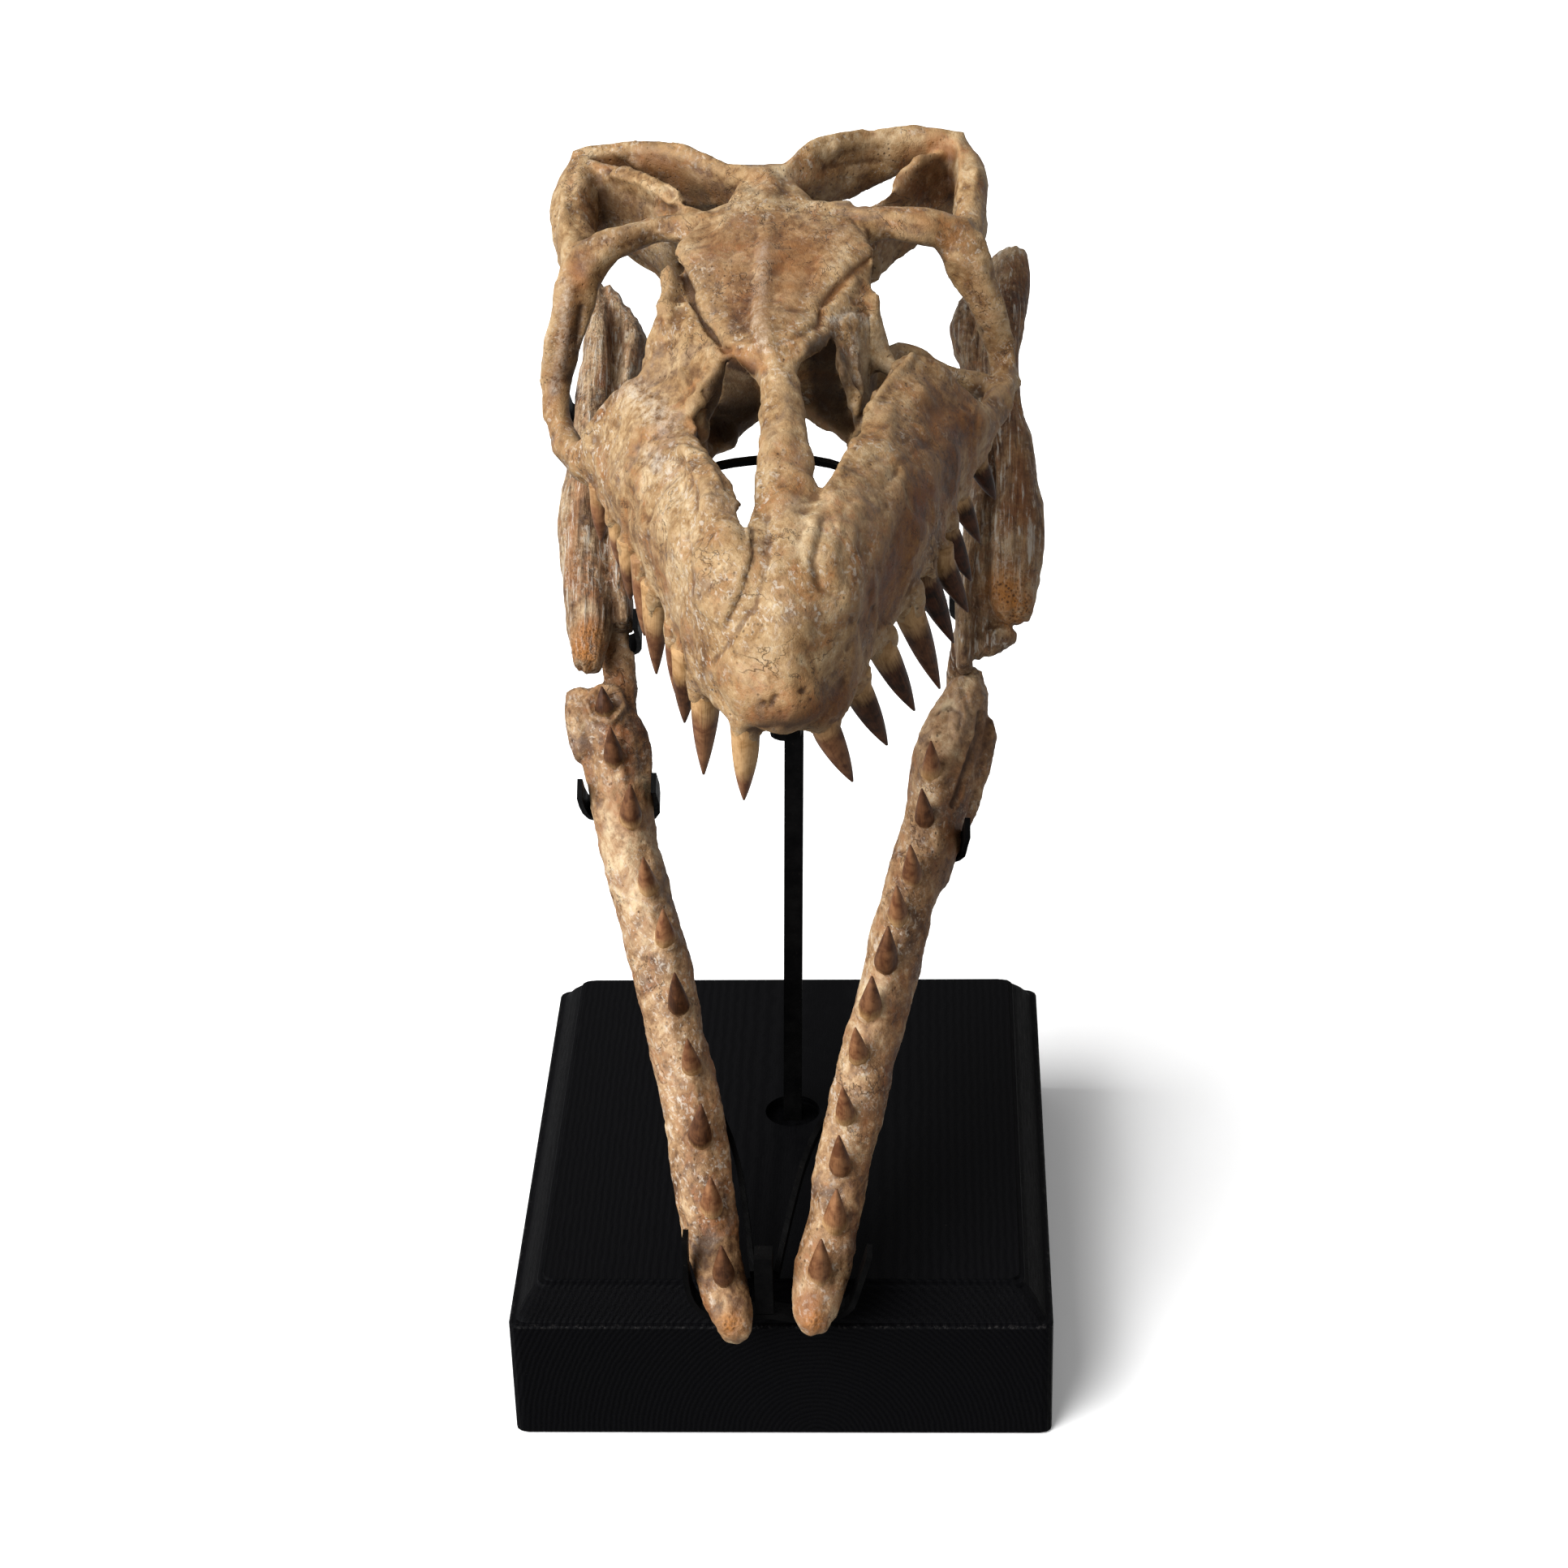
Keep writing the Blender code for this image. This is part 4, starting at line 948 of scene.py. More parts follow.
def bone_material(name, deep, tan, pale, rust, fibre=None):
    """Dry fossil bone. Fibre is the stretch and the turn of its strands, where it is splintered."""
    paint = Paint(name, 0.6, 0.25)
    if not fibre:
        paint.place = paint.stretched((1, 0.62, 1))
    clouds = paint.noise(16, 4, 0.6, 0.9), paint.noise(75, 5, 0.68, 0.8), paint.noise(260, 4, 0.7, 0.4)
    base = mottled(paint, clouds, deep, tan, pale, rust)
    base, normal = flecked(paint, base)
    base, hollows = cracked(paint, base)
    base = shaded_and_stained(paint, base, clouds[2], pale, rust)
    normal = paint.bump(paint.noise(150, 6, 0.7, 0.4), 0.0013, 0.8, normal)
    normal = paint.bump(paint.noise(640, 4, 0.7), 0.0005, 0.7, normal)
    normal = paint.bump(paint.math("SUBTRACT", 1.0, hollows), 0.0006, 0.7, normal)
    if fibre:
        base, normal = splintered(paint, base, normal, fibre)
    base, normal = spongy(paint, base, normal)
    return paint.done(base, normal, paint.level(clouds[1], 0.3, 0.7, 0.48, 0.72))


def tooth_material():
    """Enamel from light to dark brown, with streaks along the crown and a root in the bone's tones."""
    paint = Paint("tooth_enamel", 0.3, 0.10)
    grain = paint.node("ShaderNodeAttribute", attribute_name="grain").outputs["Vector"]
    strands = paint.node("ShaderNodeMapping", {0: grain, 3: (900, 900, 60)}).outputs[0]
    streak = paint.noise(1.0, 4, 0.6, 0.2, strands)
    reach, dark, root = paint.value("reach"), paint.value("dark"), paint.value("root")
    blotch = paint.noise(150, 4, 0.6, 0.5)
    dark_tone = paint.ramp(blotch, (0.38, colour(26, 14, 8)), (0.64, colour(60, 32, 18)))
    light_tone = paint.ramp(blotch, (0.38, colour(98, 60, 38)), (0.62, colour(138, 98, 66)))
    root_tone = paint.ramp(blotch, (0.36, colour(124, 92, 56)), (0.6, colour(158, 126, 88)))
    tone = paint.mix(dark, light_tone, dark_tone)
    past_root = paint.plus(paint.math("SUBTRACT", reach, root), paint.level(streak, 0.3, 0.7, -0.06, 0.06))
    tone = paint.mix(paint.level(past_root, -0.02, 0.18, 1.0, 0.0), tone, root_tone)
    tone = paint.tint(tone, colour(70, 40, 24), reach, 0.80, 1.0, 0.45)
    tone = paint.tint(tone, colour(112, 74, 46), streak, 0.54, 0.74, 0.3)
    tone = paint.tint(tone, colour(24, 14, 9), streak, 0.44, 0.30, 0.35)
    normal = paint.bump(streak, 0.0005, 0.5)
    return paint.done(tone, normal, paint.level(past_root, -0.05, 0.06, 0.62, 0.40))


# Heights on the plinth, in metres, from where something starts to where it is full: the painted highlight on
# the lower edge of its moulding, the rough moulding, and the year rings, which end at the top
HIGHLIGHT_RISE, HIGHLIGHT_FALL = (0.0738, 0.0744), (0.0754, 0.0749)
ROUGH_RISE, ROUGH_FALL = (0.076, 0.079), (0.092, 0.089)
RINGS_FALL = (0.0935, 0.0925)
WOOD_BLACKS = (0.0010, 0.0010, 0.0013, 1), (0.0030, 0.0030, 0.0034, 1)
STEEL_BLACKS = (0.0010, 0.0010, 0.0011, 1), (0.0030, 0.0029, 0.0029, 1)


def wood_material():
    """Black stain over wood whose grain runs from front to back, so the front shows the year rings."""
    paint = Paint("black_stained_wood", 0.42, 0.02)
    rings = paint.node("ShaderNodeTexWave", {"Vector": paint.shifted(0.02, 0, -0.004), "Scale": 105.0,
                                             "Distortion": 3.0, "Detail": 3.0, "Detail Scale": 0.9,
                                             "Detail Roughness": 0.6},
                       wave_type="RINGS", rings_direction="Y").outputs[1]
    pores = paint.noise(1.0, 4, 0.65, 0.1, paint.stretched((900, 60, 900)))
    streaks = paint.noise(1.0, 5, 0.6, 0.2, paint.stretched((260, 12, 260)))
    tone = paint.ramp(paint.plus(paint.times(rings, 0.22), paint.times(pores, 0.55)),
                      (0.20, WOOD_BLACKS[0]), (0.70, WOOD_BLACKS[1]))
    height = paint.node("ShaderNodeSeparateXYZ", {0: paint.place}).outputs[2]
    # Painted highlight: a paler band along the lower edge of the moulding, broken into patches
    edge = paint.times(paint.level(height, *HIGHLIGHT_RISE), paint.level(height, *HIGHLIGHT_FALL))
    edge_highlight = paint.times(edge, paint.patches(0.54, 0.64, 420, 4, 0.7))
    tone = paint.mix(paint.times(edge_highlight, 0.12), tone, colour(96, 92, 90))
    dust = paint.times(paint.level(paint.cells(240), 0.02, 0.055, 1.0, 0.0),
                       paint.patches(0.54, 0.66, 26, 3, 0.6))
    tone = paint.mix(paint.times(dust, 0.16), tone, colour(120, 112, 104))
    rough = paint.times(paint.level(height, *ROUGH_RISE), paint.level(height, *ROUGH_FALL))
    normal = paint.bump(paint.times(rings, paint.level(height, *RINGS_FALL)), 0.0004, 0.5)
    normal = paint.bump(streaks, 0.0003, 0.15, normal)
    normal = paint.bump(paint.times(paint.noise(620, 5, 0.75), rough), 0.0012, 0.9, normal)
    normal = paint.bump(pores, 0.0005, 0.6, normal)
    return paint.done(tone, normal, paint.level(pores, 0.3, 0.7, 0.36, 0.56))


def steel_material():
    """Black paint over slightly lumpy steel, with a few scuffs."""
    paint = Paint("black_painted_steel", 0.4, 0.025)
    lumps = paint.noise(260, 5, 0.6)
    tone = paint.ramp(paint.noise(90, 5, 0.65), (0.35, STEEL_BLACKS[0]), (0.7, STEEL_BLACKS[1]))
    scuffs = paint.patches(0.63, 0.72, 420, 6, 0.75, 0.6)
    tone = paint.mix(paint.times(scuffs, 0.3), tone, colour(62, 56, 50))
    normal = paint.bump(lumps, 0.0006, 0.5)
    normal = paint.bump(paint.noise(1400, 3, 0.6), 0.00012, 0.5, normal)
    return paint.done(tone, normal, paint.level(lumps, 0.3, 0.7, 0.30, 0.52))


# Teeth: share of the length that is inside the bone, how the crown hooks and tapers, how flat it is, its
# keel, and how far the bone rises round the root
TOOTH_BURIED, TOOTH_HOOK_POWER, TOOTH_TAPER, TOOTH_TAPER_POWER = 0.3, 1.5, 0.91, 1.8
TOOTH_FLATNESS, KEEL_HEIGHT, KEEL_POWER = 0.96, 0.07, 6
COLLAR_LEAST, COLLAR_ROOT, COLLAR_FIT = 0.05, 0.4, 0.98


class Tooth(NamedTuple):
    """Root place, length, sideways lean, radius and backward hook in mm, then root share and darkness."""
    base: tuple
    length: float
    lean: float
    radius: float
    hook: float
    root: float
    dark: float

    def centre(self, share):
        """The middle of the tooth at a share of its length. A share below zero is inside the bone."""
        out = max(share, 0.0)
        x, y, z = self.base
        return x + self.lean * out, y + self.hook * out ** TOOTH_HOOK_POWER, z + self.length * share

    def width(self, share):
        return self.radius * (1.0 - TOOTH_TAPER * max(share, 0.0) ** TOOTH_TAPER_POWER)


def make_teeth(name, frame, teeth, steps=22, sides=18):
    """Curved, slightly flattened, keeled crowns, with values for the enamel on their points."""
    points, faces, grain = [], [], []
    values = {"reach": [], "dark": [], "root": []}
    for number, tooth in enumerate(teeth):
        first = len(points)
        stations = np.linspace(-TOOTH_BURIED, 1.0, steps)
        centres = [tooth.centre(share) for share in stations]
        for share, centre, tangent in zip(stations, centres, np.gradient(np.array(centres), axis=0)):
            size = tooth.width(share)
            along = Vector(tangent).normalized()
            side = along.cross(Vector((0, 1, 0))).normalized()
            top = side.cross(along)
            for i in range(sides):
                turn = 2 * math.pi * i / sides
                wave = 1 + 0.025 * math.sin(3 * turn + number)
                wave += 0.02 * math.sin(7 * turn + 5 * share + number)
                keel = 1 + KEEL_HEIGHT * abs(math.sin(turn)) ** KEEL_POWER
                place = Vector(centre) + side * size * TOOTH_FLATNESS * wave * math.cos(turn)
                place += top * size * wave * keel * math.sin(turn)
                points.append(frame @ place)
                grain.append((0.01 * math.cos(turn), 0.01 * math.sin(turn), 0.05 * share + number))
            for key, value in (("reach", max(share, 0.0)), ("dark", tooth.dark), ("root", tooth.root)):
                values[key] += [value] * sides
        for r in range(steps - 1):
            for i in range(sides):
                j = (i + 1) % sides
                a, b = first + r * sides, first + (r + 1) * sides
                faces.append((a + i, a + j, b + j, b + i))
        faces.append(tuple(first + i for i in range(sides)))
        faces.append(tuple(first + (steps - 1) * sides + i for i in range(sides)))
    work = Bone()
    work.add(points, faces)
    mesh = bpy.data.meshes.new(name)
    work.mesh.to_mesh(mesh)
    work.mesh.free()
    for key, numbers in values.items():
        mesh.attributes.new(key, "FLOAT", "POINT").data.foreach_set("value", numbers)
    mesh.attributes.new("grain", "FLOAT_VECTOR", "POINT").data.foreach_set("vector", np.ravel(grain))
    mesh.shade_smooth()
    settle(mesh, name, ENAMEL, "bone")


def collars(bone, teeth, extra):
    """Bone that rises round each tooth's root."""
    for tooth in teeth:
        share = COLLAR_LEAST + COLLAR_ROOT * tooth.root
        wide, narrow = tooth.radius * extra, tooth.width(share) * COLLAR_FIT
        rows = [(*tooth.centre(-TOOTH_BURIED), wide, wide), (*tooth.centre(0.0), wide, wide),
                (*tooth.centre(share), narrow, narrow)]
        bone.limb(rows, steps=8, sides=16, up=(0, 1, 0))


def lower_teeth(teeth, tones):
    """The lower teeth, each a little different in lean, radius and hook."""
    for (along, across, length), (root, dark) in zip(teeth, tones):
        change = math.sin(along * CHANGE_RATE + across)
        yield Tooth((across, along, LOWER_ROOT_HEIGHT), length, LEAN_CHANGE * change,
                    LOWER_TOOTH_RADIUS + RADIUS_CHANGE * change, LOWER_TOOTH_HOOK + HOOK_CHANGE * change,
                    root, dark)


def add_skull_forms(bone):
    """The skull's limbs and sheets, which overlap."""
    bone.limb(SNOUT, sides=32)
    bone.limb(NASAL_BAR, steps=70, sides=24)
    for rows in (LEFT_REAR_ARM, RIGHT_REAR_ARM, LEFT_EAR_ARM, RIGHT_EAR_ARM, LEFT_BROW_BAR, RIGHT_BROW_BAR,
                 LEFT_CHEEK_BAR, RIGHT_CHEEK_BAR, ORBIT_FLOOR):
        bone.limb(rows, steps=40)
    for rows in (TOOTH_RIDGE, EYE_REAR_BAR, TEMPLE_WALL, PALATE_EDGE, PALATE_REAR):
        turn = (0, -1, 0) if rows is EYE_REAR_BAR else (0, 0, 1)
        bone.limb(rows, steps=40, up=turn)
        bone.limb(mirrored(rows), steps=40, up=turn)
    for rows, thickness in ((MAXILLA, 12), (PALATE, 9), (EYE_WALL, 8)):
        bone.sheet(rows, thickness)
        bone.sheet([mirrored(row) for row in rows], thickness)
    bone.limb(CROWN, steps=48, sides=32)
    bone.limb(CROWN_KNOB, steps=16)
    bone.limb(CORE, steps=40, sides=28)
    bone.limb(PALATE_STEM, steps=24)
    for rows in (FRONTAL, LEFT_BROW, RIGHT_BROW):
        bone.sheet(rows, 9)
    for rows in (BROW_STRUT, BROW_PRONG):
        bone.limb(rows, up=(0, -1, 0))
    for rows, thickness in ((BROW_FACET, 5), (RIGHT_EDGE, 4), (LEFT_LOBE, 5)):
        bone.sheet(rows, thickness)
    for rows in (LEFT_FINGER, LEFT_WALL, LEFT_TEMPLE_FILL, RIGHT_TEMPLE_FILL, LEFT_EAR_RIM, RIGHT_EAR_RIM):
        bone.limb(rows, steps=40)


def build_skull():
    bone = Bone()
    add_skull_forms(bone)
    bone.bend_snout()
    collars(bone, upper_teeth(), extra=1.1)
    surface = bone.fuse(SKULL_FRAME, SKULL_VOXEL)
    surface.relax(1)
    surface.facet(40, 0.7, limit=3.0, seed=3, calm=3)
    surface.facet(17, 0.5, limit=1.0, seed=5, calm=2)
    surface.look_from_camera()
    sharp = [path for path, radius, height in SKULL_STROKES
             if radius <= SHARP_RADIUS and abs(height) >= SHARP_HEIGHT]
    surface = surface.refined(sharp + [outline + outline[:1] for outline, _, _ in SKULL_PLATES])
    surface.look_from_camera()
    surface.carve(SKULL_STROKES, SKULL_PLATES, SKULL_SHELVES)
    surface.rough([(34, 1.4, (1, 1, 1), soft, 0.3), (11, 0.5, (1, 0.8, 1), soft, 4.1),
                   (5, 0.16, (1, 0.7, 1), soft, 9.7)])
    surface.paint_stains_and_shade(SKULL_PAINT, SKULL_FILLS)
    surface.measure()
    surface.finish("skull_bone", BONE, "bone", "skull")
    make_teeth("upper_teeth", SKULL_FRAME, upper_teeth())


def build_front_jaw(side, rows, teeth, tones, extra):
    bone = Bone()
    bone.limb(rows, steps=90, sides=28)
    for more in extra:
        bone.limb(more)
    collars(bone, lower_teeth(teeth, tones), extra=1.15)
    surface = bone.fuse(JAW_FRAME, JAW_VOXEL)
    surface.relax(2)
    surface.facet(16, 0.5, limit=1.0, seed=4, calm=2)
    surface.facet(7, 0.5, limit=0.5, seed=6)
    surface.look_from_camera()
    surface.carve(JAW_STROKES)
    surface.rough([(22, 1.3, (1, 0.6, 0.6), soft, 2.3), (7, 0.5, (1, 0.6, 0.6), soft, 5.1),
                   (3.5, 0.28, (1, 0.7, 0.7), ridged, 1.7)])
    surface.paint_stains_and_shade(JAW_PAINT)
    surface.measure()
    surface.finish("front_jaw_bone_" + side, JAW_BONE, "bone", "front_jaw_" + side)
    make_teeth("lower_teeth_" + side, JAW_FRAME, lower_teeth(teeth, tones))


def build_rear_jaw(side, shapes):
    bone = Bone()
    for rows in shapes:
        bone.limb(rows, steps=60, sides=24)
    surface = bone.fuse(JAW_FRAME, JAW_VOXEL)
    surface.relax(2)
    surface.look_from_camera()
    fibres = (1.0, 0.16, 0.16)
    surface.rough([(24, 1.2, (1, 0.7, 0.7), soft, 6.3), (4.6, 1.2, fibres, ridged, 3.1),
                   (2.6, 0.5, fibres, soft, 8.1)])
    surface.paint_stains_and_shade(JAW_PAINT)
    surface.measure()
    surface.finish("rear_jaw_bone_" + side, REAR_BONE, "bone", "rear_jaw_" + side)


# Fineness at which the shapes are fused, in metres
SKULL_VOXEL = 0.0026
JAW_VOXEL = 0.00135
# Strokes at most this wide, in pixels, and at least this high, in mm, get split faces
SHARP_RADIUS, SHARP_HEIGHT = 9, 1.4

# Places below are in the photograph's pixels. Lines and areas that are used more than once
FRONTAL_GROOVE = [(1074, 316), (1052, 334), (1030, 356), (1013, 376), (1009, 402)]
RIGHT_TEMPLE = [(1030, 244), (1066, 214), (1112, 210), (1150, 190), (1178, 180), (1178, 250), (1100, 256)]
JAW_CRACK = [(1209, 878), (1207, 905), (1194, 945), (1176, 992)]
JAW_CHIP = [(1152, 880), (1166, 868), (1184, 880), (1180, 900)]
# Ridges, and grooves where the height is below zero: line, radius, height in mm
SKULL_STROKES = [
    # Frontal plate, brows, nasal bar, rims of the nostrils and upper jaws
    ([(946, 290), (941, 330), (938, 385), (946, 430), (954, 450)], 15, 2.0),
    ([(834, 318), (848, 346), (860, 386), (880, 412), (896, 430)], 8, -2.6),
    (FRONTAL_GROOVE, 9, -1.5),
    ([(826, 322), (820, 360), (802, 410), (780, 460), (762, 506)], 20, 2.4),
    ([(846, 400), (838, 450), (850, 490), (858, 530)], 10, 1.4),
    ([(1016, 640), (1004, 690), (1012, 722), (1034, 736)], 9, -1.8),
    ([(1034, 640), (1026, 690), (1032, 716)], 10, 0.9),
    ([(946, 640), (944, 700), (928, 752)], 10, -1.5),
    ([(966, 460), (970, 530), (974, 600), (972, 690)], 14, 1.0),
    ([(1052, 400), (1062, 440), (1058, 490), (1054, 515)], 8, 1.5),
    ([(1078, 320), (1080, 360), (1078, 392)], 8, 1.3),
    ([(1125, 440), (1090, 480), (1060, 530), (1038, 575), (1014, 612)], 8, 1.5),
    ([(1154, 508), (1150, 530), (1144, 546)], 20, -1.4),
    ([(800, 562), (846, 566), (862, 560)], 7, -1.0),
    ([(862, 570), (838, 590), (820, 600), (796, 640)], 6, -1.2),
    ([(858, 545), (868, 560), (880, 585), (893, 606)], 9, 1.6),
    ([(872, 618), (900, 622), (926, 634)], 9, 1.6),
    ([(820, 700), (860, 690), (900, 660)], 16, 0.9),
    ([(880, 815), (905, 780), (922, 755)], 8, -1.3),
    ([(1046, 800), (1066, 770), (1080, 752)], 9, -1.2),
    # Knobs and holes for vessels
    ([(765, 583)], 9, 1.6),
    ([(788, 611)], 9, 1.6),
    ([(770, 566), (812, 592)], 7, 0.9),
    ([(1060, 767)], 7, -2.0),
    ([(1080, 750)], 8, -1.6),
    ([(990, 852)], 7, -1.8),
    ([(940, 867)], 7, -1.6),
    ([(866, 735)], 6, -1.2),
    ([(955, 858), (946, 872)], 6, -1.4),
    ([(900, 560), (880, 520)], 14, -0.8),
    # Crown, temple arches and ear arms
    ([(900, 224), (916, 216), (936, 212), (956, 226)], 12, 2.2),
    ([(980, 240), (1004, 248)], 10, 1.4),
    ([(988, 280)], 12, -1.0),
    ([(748, 211)], 8, -2.6),
    ([(756, 216), (792, 226), (828, 248), (880, 250)], 9, 1.8),
    ([(740, 190), (800, 184), (850, 192), (890, 212)], 10, 1.6),
    ([(770, 238), (800, 252), (840, 262)], 8, -1.4),
    ([(1000, 190), (1060, 176), (1120, 172), (1180, 176)], 12, 1.4),
    ([(1020, 206), (1060, 200), (1090, 196)], 10, -1.4),
    ([(735, 296), (770, 284), (810, 272), (870, 268)], 9, 1.3),
    ([(760, 306), (800, 292), (830, 286)], 8, -1.0),
    ([(1010, 250), (1060, 262), (1100, 268), (1150, 276)], 10, 1.3),
    ([(1110, 290), (1150, 300), (1190, 330)], 10, 1.2),
    # Bars behind and below the eyes
    ([(1196, 350), (1212, 390), (1222, 430)], 9, -1.2),
    ([(1206, 412)], 9, -2.4),
    ([(704, 350), (698, 400), (688, 460)], 9, 1.2),
    ([(716, 380), (712, 420)], 7, -1.8),
    ([(694, 500), (716, 520), (750, 528)], 9, 1.0),
    ([(1196, 470), (1230, 480), (1256, 470)], 10, 1.2),
    # Hollows of the frontal plate, side and tip of the snout
    ([(1176, 640), (1184, 600), (1192, 560)], 9, 0.9),
    ([(880, 340), (900, 380), (930, 420)], 12, -1.0),
    ([(1000, 330), (990, 370)], 14, -1.0),
    ([(920, 905), (960, 896), (1000, 902)], 10, -1.8),
    # Second layer on the temple arches
    ([(760, 186), (790, 205), (812, 230), (828, 250)], 7, 1.7),
    ([(800, 196), (836, 206), (866, 226)], 26, 2.2),
    ([(1040, 186), (1010, 216)], 12, -1.2),
    ([(1090, 186), (1130, 190), (1158, 206)], 26, 1.4),
    # Second layer on the frontal plate, round the nostrils and on the right upper jaw
    ([(838, 328), (850, 366), (870, 404), (892, 430)], 6, -1.6),
    ([(893, 604)], 12, -2.2),
    ([(856, 548)], 12, -2.0),
    ([(1122, 438), (1096, 470), (1070, 506), (1050, 544), (1030, 572)], 6, 1.6),
    ([(1076, 304), (1078, 345), (1078, 384)], 6, 1.2),
    ([(1016, 380), (1046, 380), (1074, 384)], 6, 1.2),
    # Long, shallow lines on the upper jaws
    ([(700, 566), (740, 640), (790, 730), (840, 830)], 10, 0.8),
    ([(846, 600), (800, 640), (770, 620)], 8, -0.9),
    ([(880, 620), (850, 660), (858, 720)], 8, -0.8),
    ([(1090, 600), (1120, 560), (1160, 540)], 10, -0.9),
    ([(1110, 640), (1080, 690), (1070, 740)], 9, -0.8),
]
# Raised areas: outline, height in mm, width of the edge
SKULL_PLATES = [
    ([(834, 300), (829, 309), (850, 344), (859, 384), (890, 425), (930, 436), (980, 418), (1008, 400),
      (1012, 376), (1028, 356), (1052, 332), (1074, 316), (1073, 297), (1046, 268), (940, 258), (866, 270)],
     1.9, 5),
    ([(861, 565), (880, 575), (893, 603), (908, 614), (928, 634), (926, 688), (912, 734), (890, 778),
      (850, 740), (836, 680), (840, 620), (846, 586)], 1.5, 5),
    ([(1122, 438), (1172, 462), (1210, 480), (1196, 570), (1168, 640), (1120, 700), (1060, 700),
      (1030, 660), (1016, 612), (1042, 560), (1064, 512)], 1.0, 6),
    ([(1032, 396), (1046, 384), (1070, 384), (1074, 440), (1064, 492), (1058, 516), (1050, 510),
      (1052, 460), (1044, 424)], 1.4, 5),
]
# Steps: line, reach, height in mm
SKULL_SHELVES = [
    ([(836, 450), (862, 470), (870, 500), (868, 536)], 24, 1.2),
    ([(926, 636), (925, 688), (912, 734), (890, 778)], 26, 1.3),
]
# Painted lines: value, line, radius, amount. Brown and dirt are partly stains and partly painted shade: under
# the snout tip, on the inner side of the left eye bar and on the right side, away from the light
SKULL_PAINT = [
    ("dirt_and_shade", [(834, 320), (850, 350), (862, 388), (882, 414), (898, 432)], 7, 0.75),
    ("ochre", FRONTAL_GROOVE, 9, 0.55),
    ("ochre", [(888, 428), (912, 440), (936, 452)], 13, 0.5),
    ("dirt_and_shade", [(900, 446), (930, 456)], 9, 0.7),
    ("ochre", [(976, 318), (984, 345)], 46, 0.35),
    ("ochre", [(1154, 512), (1150, 536)], 22, 0.5),
    ("chalky", [(942, 310), (938, 350), (936, 400), (944, 432)], 11, 0.3),
    ("chalky", [(776, 480), (800, 500), (820, 520)], 30, 0.45),
    ("chalky", [(800, 560), (820, 580)], 22, 0.45),
    ("chalky", [(1024, 396), (1046, 388), (1066, 400)], 10, 0.6),
    ("chalky", [(1052, 420), (1056, 470)], 10, 0.35),
    ("dirt_and_shade", [(748, 211)], 9, 0.9),
    # Painted shade under the snout tip
    ("brown_and_shade", [(936, 884), (1000, 884), (1040, 862)], 30, 0.6),
    ("ochre", [(850, 520), (866, 536)], 12, 0.7),
    ("ochre", [(796, 196), (826, 206), (840, 222)], 22, 0.35),
    ("ochre", [(735, 205), (750, 200)], 14, 0.5),
    ("ochre", [(1150, 178), (1168, 184)], 20, 0.55),
    ("dirt_and_shade", [(1158, 196), (1162, 206)], 9, 0.4),
    ("ochre", [(1126, 262), (1146, 276)], 14, 0.45),
    ("ochre", [(1178, 290), (1168, 300)], 12, 0.5),
    ("dirt_and_shade", [(1060, 767)], 7, 0.8),
    ("dirt_and_shade", [(1080, 750)], 7, 0.4),
    ("dirt_and_shade", [(990, 852)], 7, 0.8),
    ("dirt_and_shade", [(940, 867)], 7, 0.6),
    ("dirt_and_shade", [(866, 735)], 6, 0.5),
    ("dirt_and_shade", [(955, 858), (948, 872)], 5, 0.6),
    # Painted shade under the snout tip and on the inner side of the left eye bar
    ("dirt_and_shade", [(930, 902), (960, 892), (1000, 900)], 22, 0.75),
    ("dirt_and_shade", [(716, 378), (710, 420), (700, 470)], 9, 0.75),
    ("dirt_and_shade", [(704, 404), (694, 456)], 5, 0.6),
    ("brown_and_shade", [(720, 320), (706, 380), (690, 450), (680, 500)], 26, 0.75),
    ("ochre", [(706, 330), (716, 350)], 16, 0.5),
    ("chalky", [(700, 350), (694, 420), (684, 480)], 10, 0.4),
    ("dirt_and_shade", [(1206, 412)], 9, 0.8),
    ("brown_and_shade", [(1190, 330), (1216, 400), (1230, 460)], 24, 0.5),
    ("brown_and_shade", [(740, 300), (790, 286), (830, 280)], 16, 0.35),
    ("ochre", [(930, 222), (950, 230)], 16, 0.45),
    ("dirt_and_shade", [(905, 232), (960, 240)], 6, 0.5),
    # Painted shade on the right side, away from the light
    ("brown_and_shade", [(1020, 210), (1080, 190), (1130, 190)], 22, 0.4),
    ("brown_and_shade", [(1080, 830), (1040, 870), (1010, 880)], 34, 0.45),
    ("brown_and_shade", [(1140, 620), (1110, 690), (1080, 760)], 36, 0.7),
    ("brown_and_shade", [(1190, 520), (1170, 600)], 30, 0.4),
    ("brown_and_shade", [(800, 640), (812, 720), (850, 800)], 14, 0.25),
]
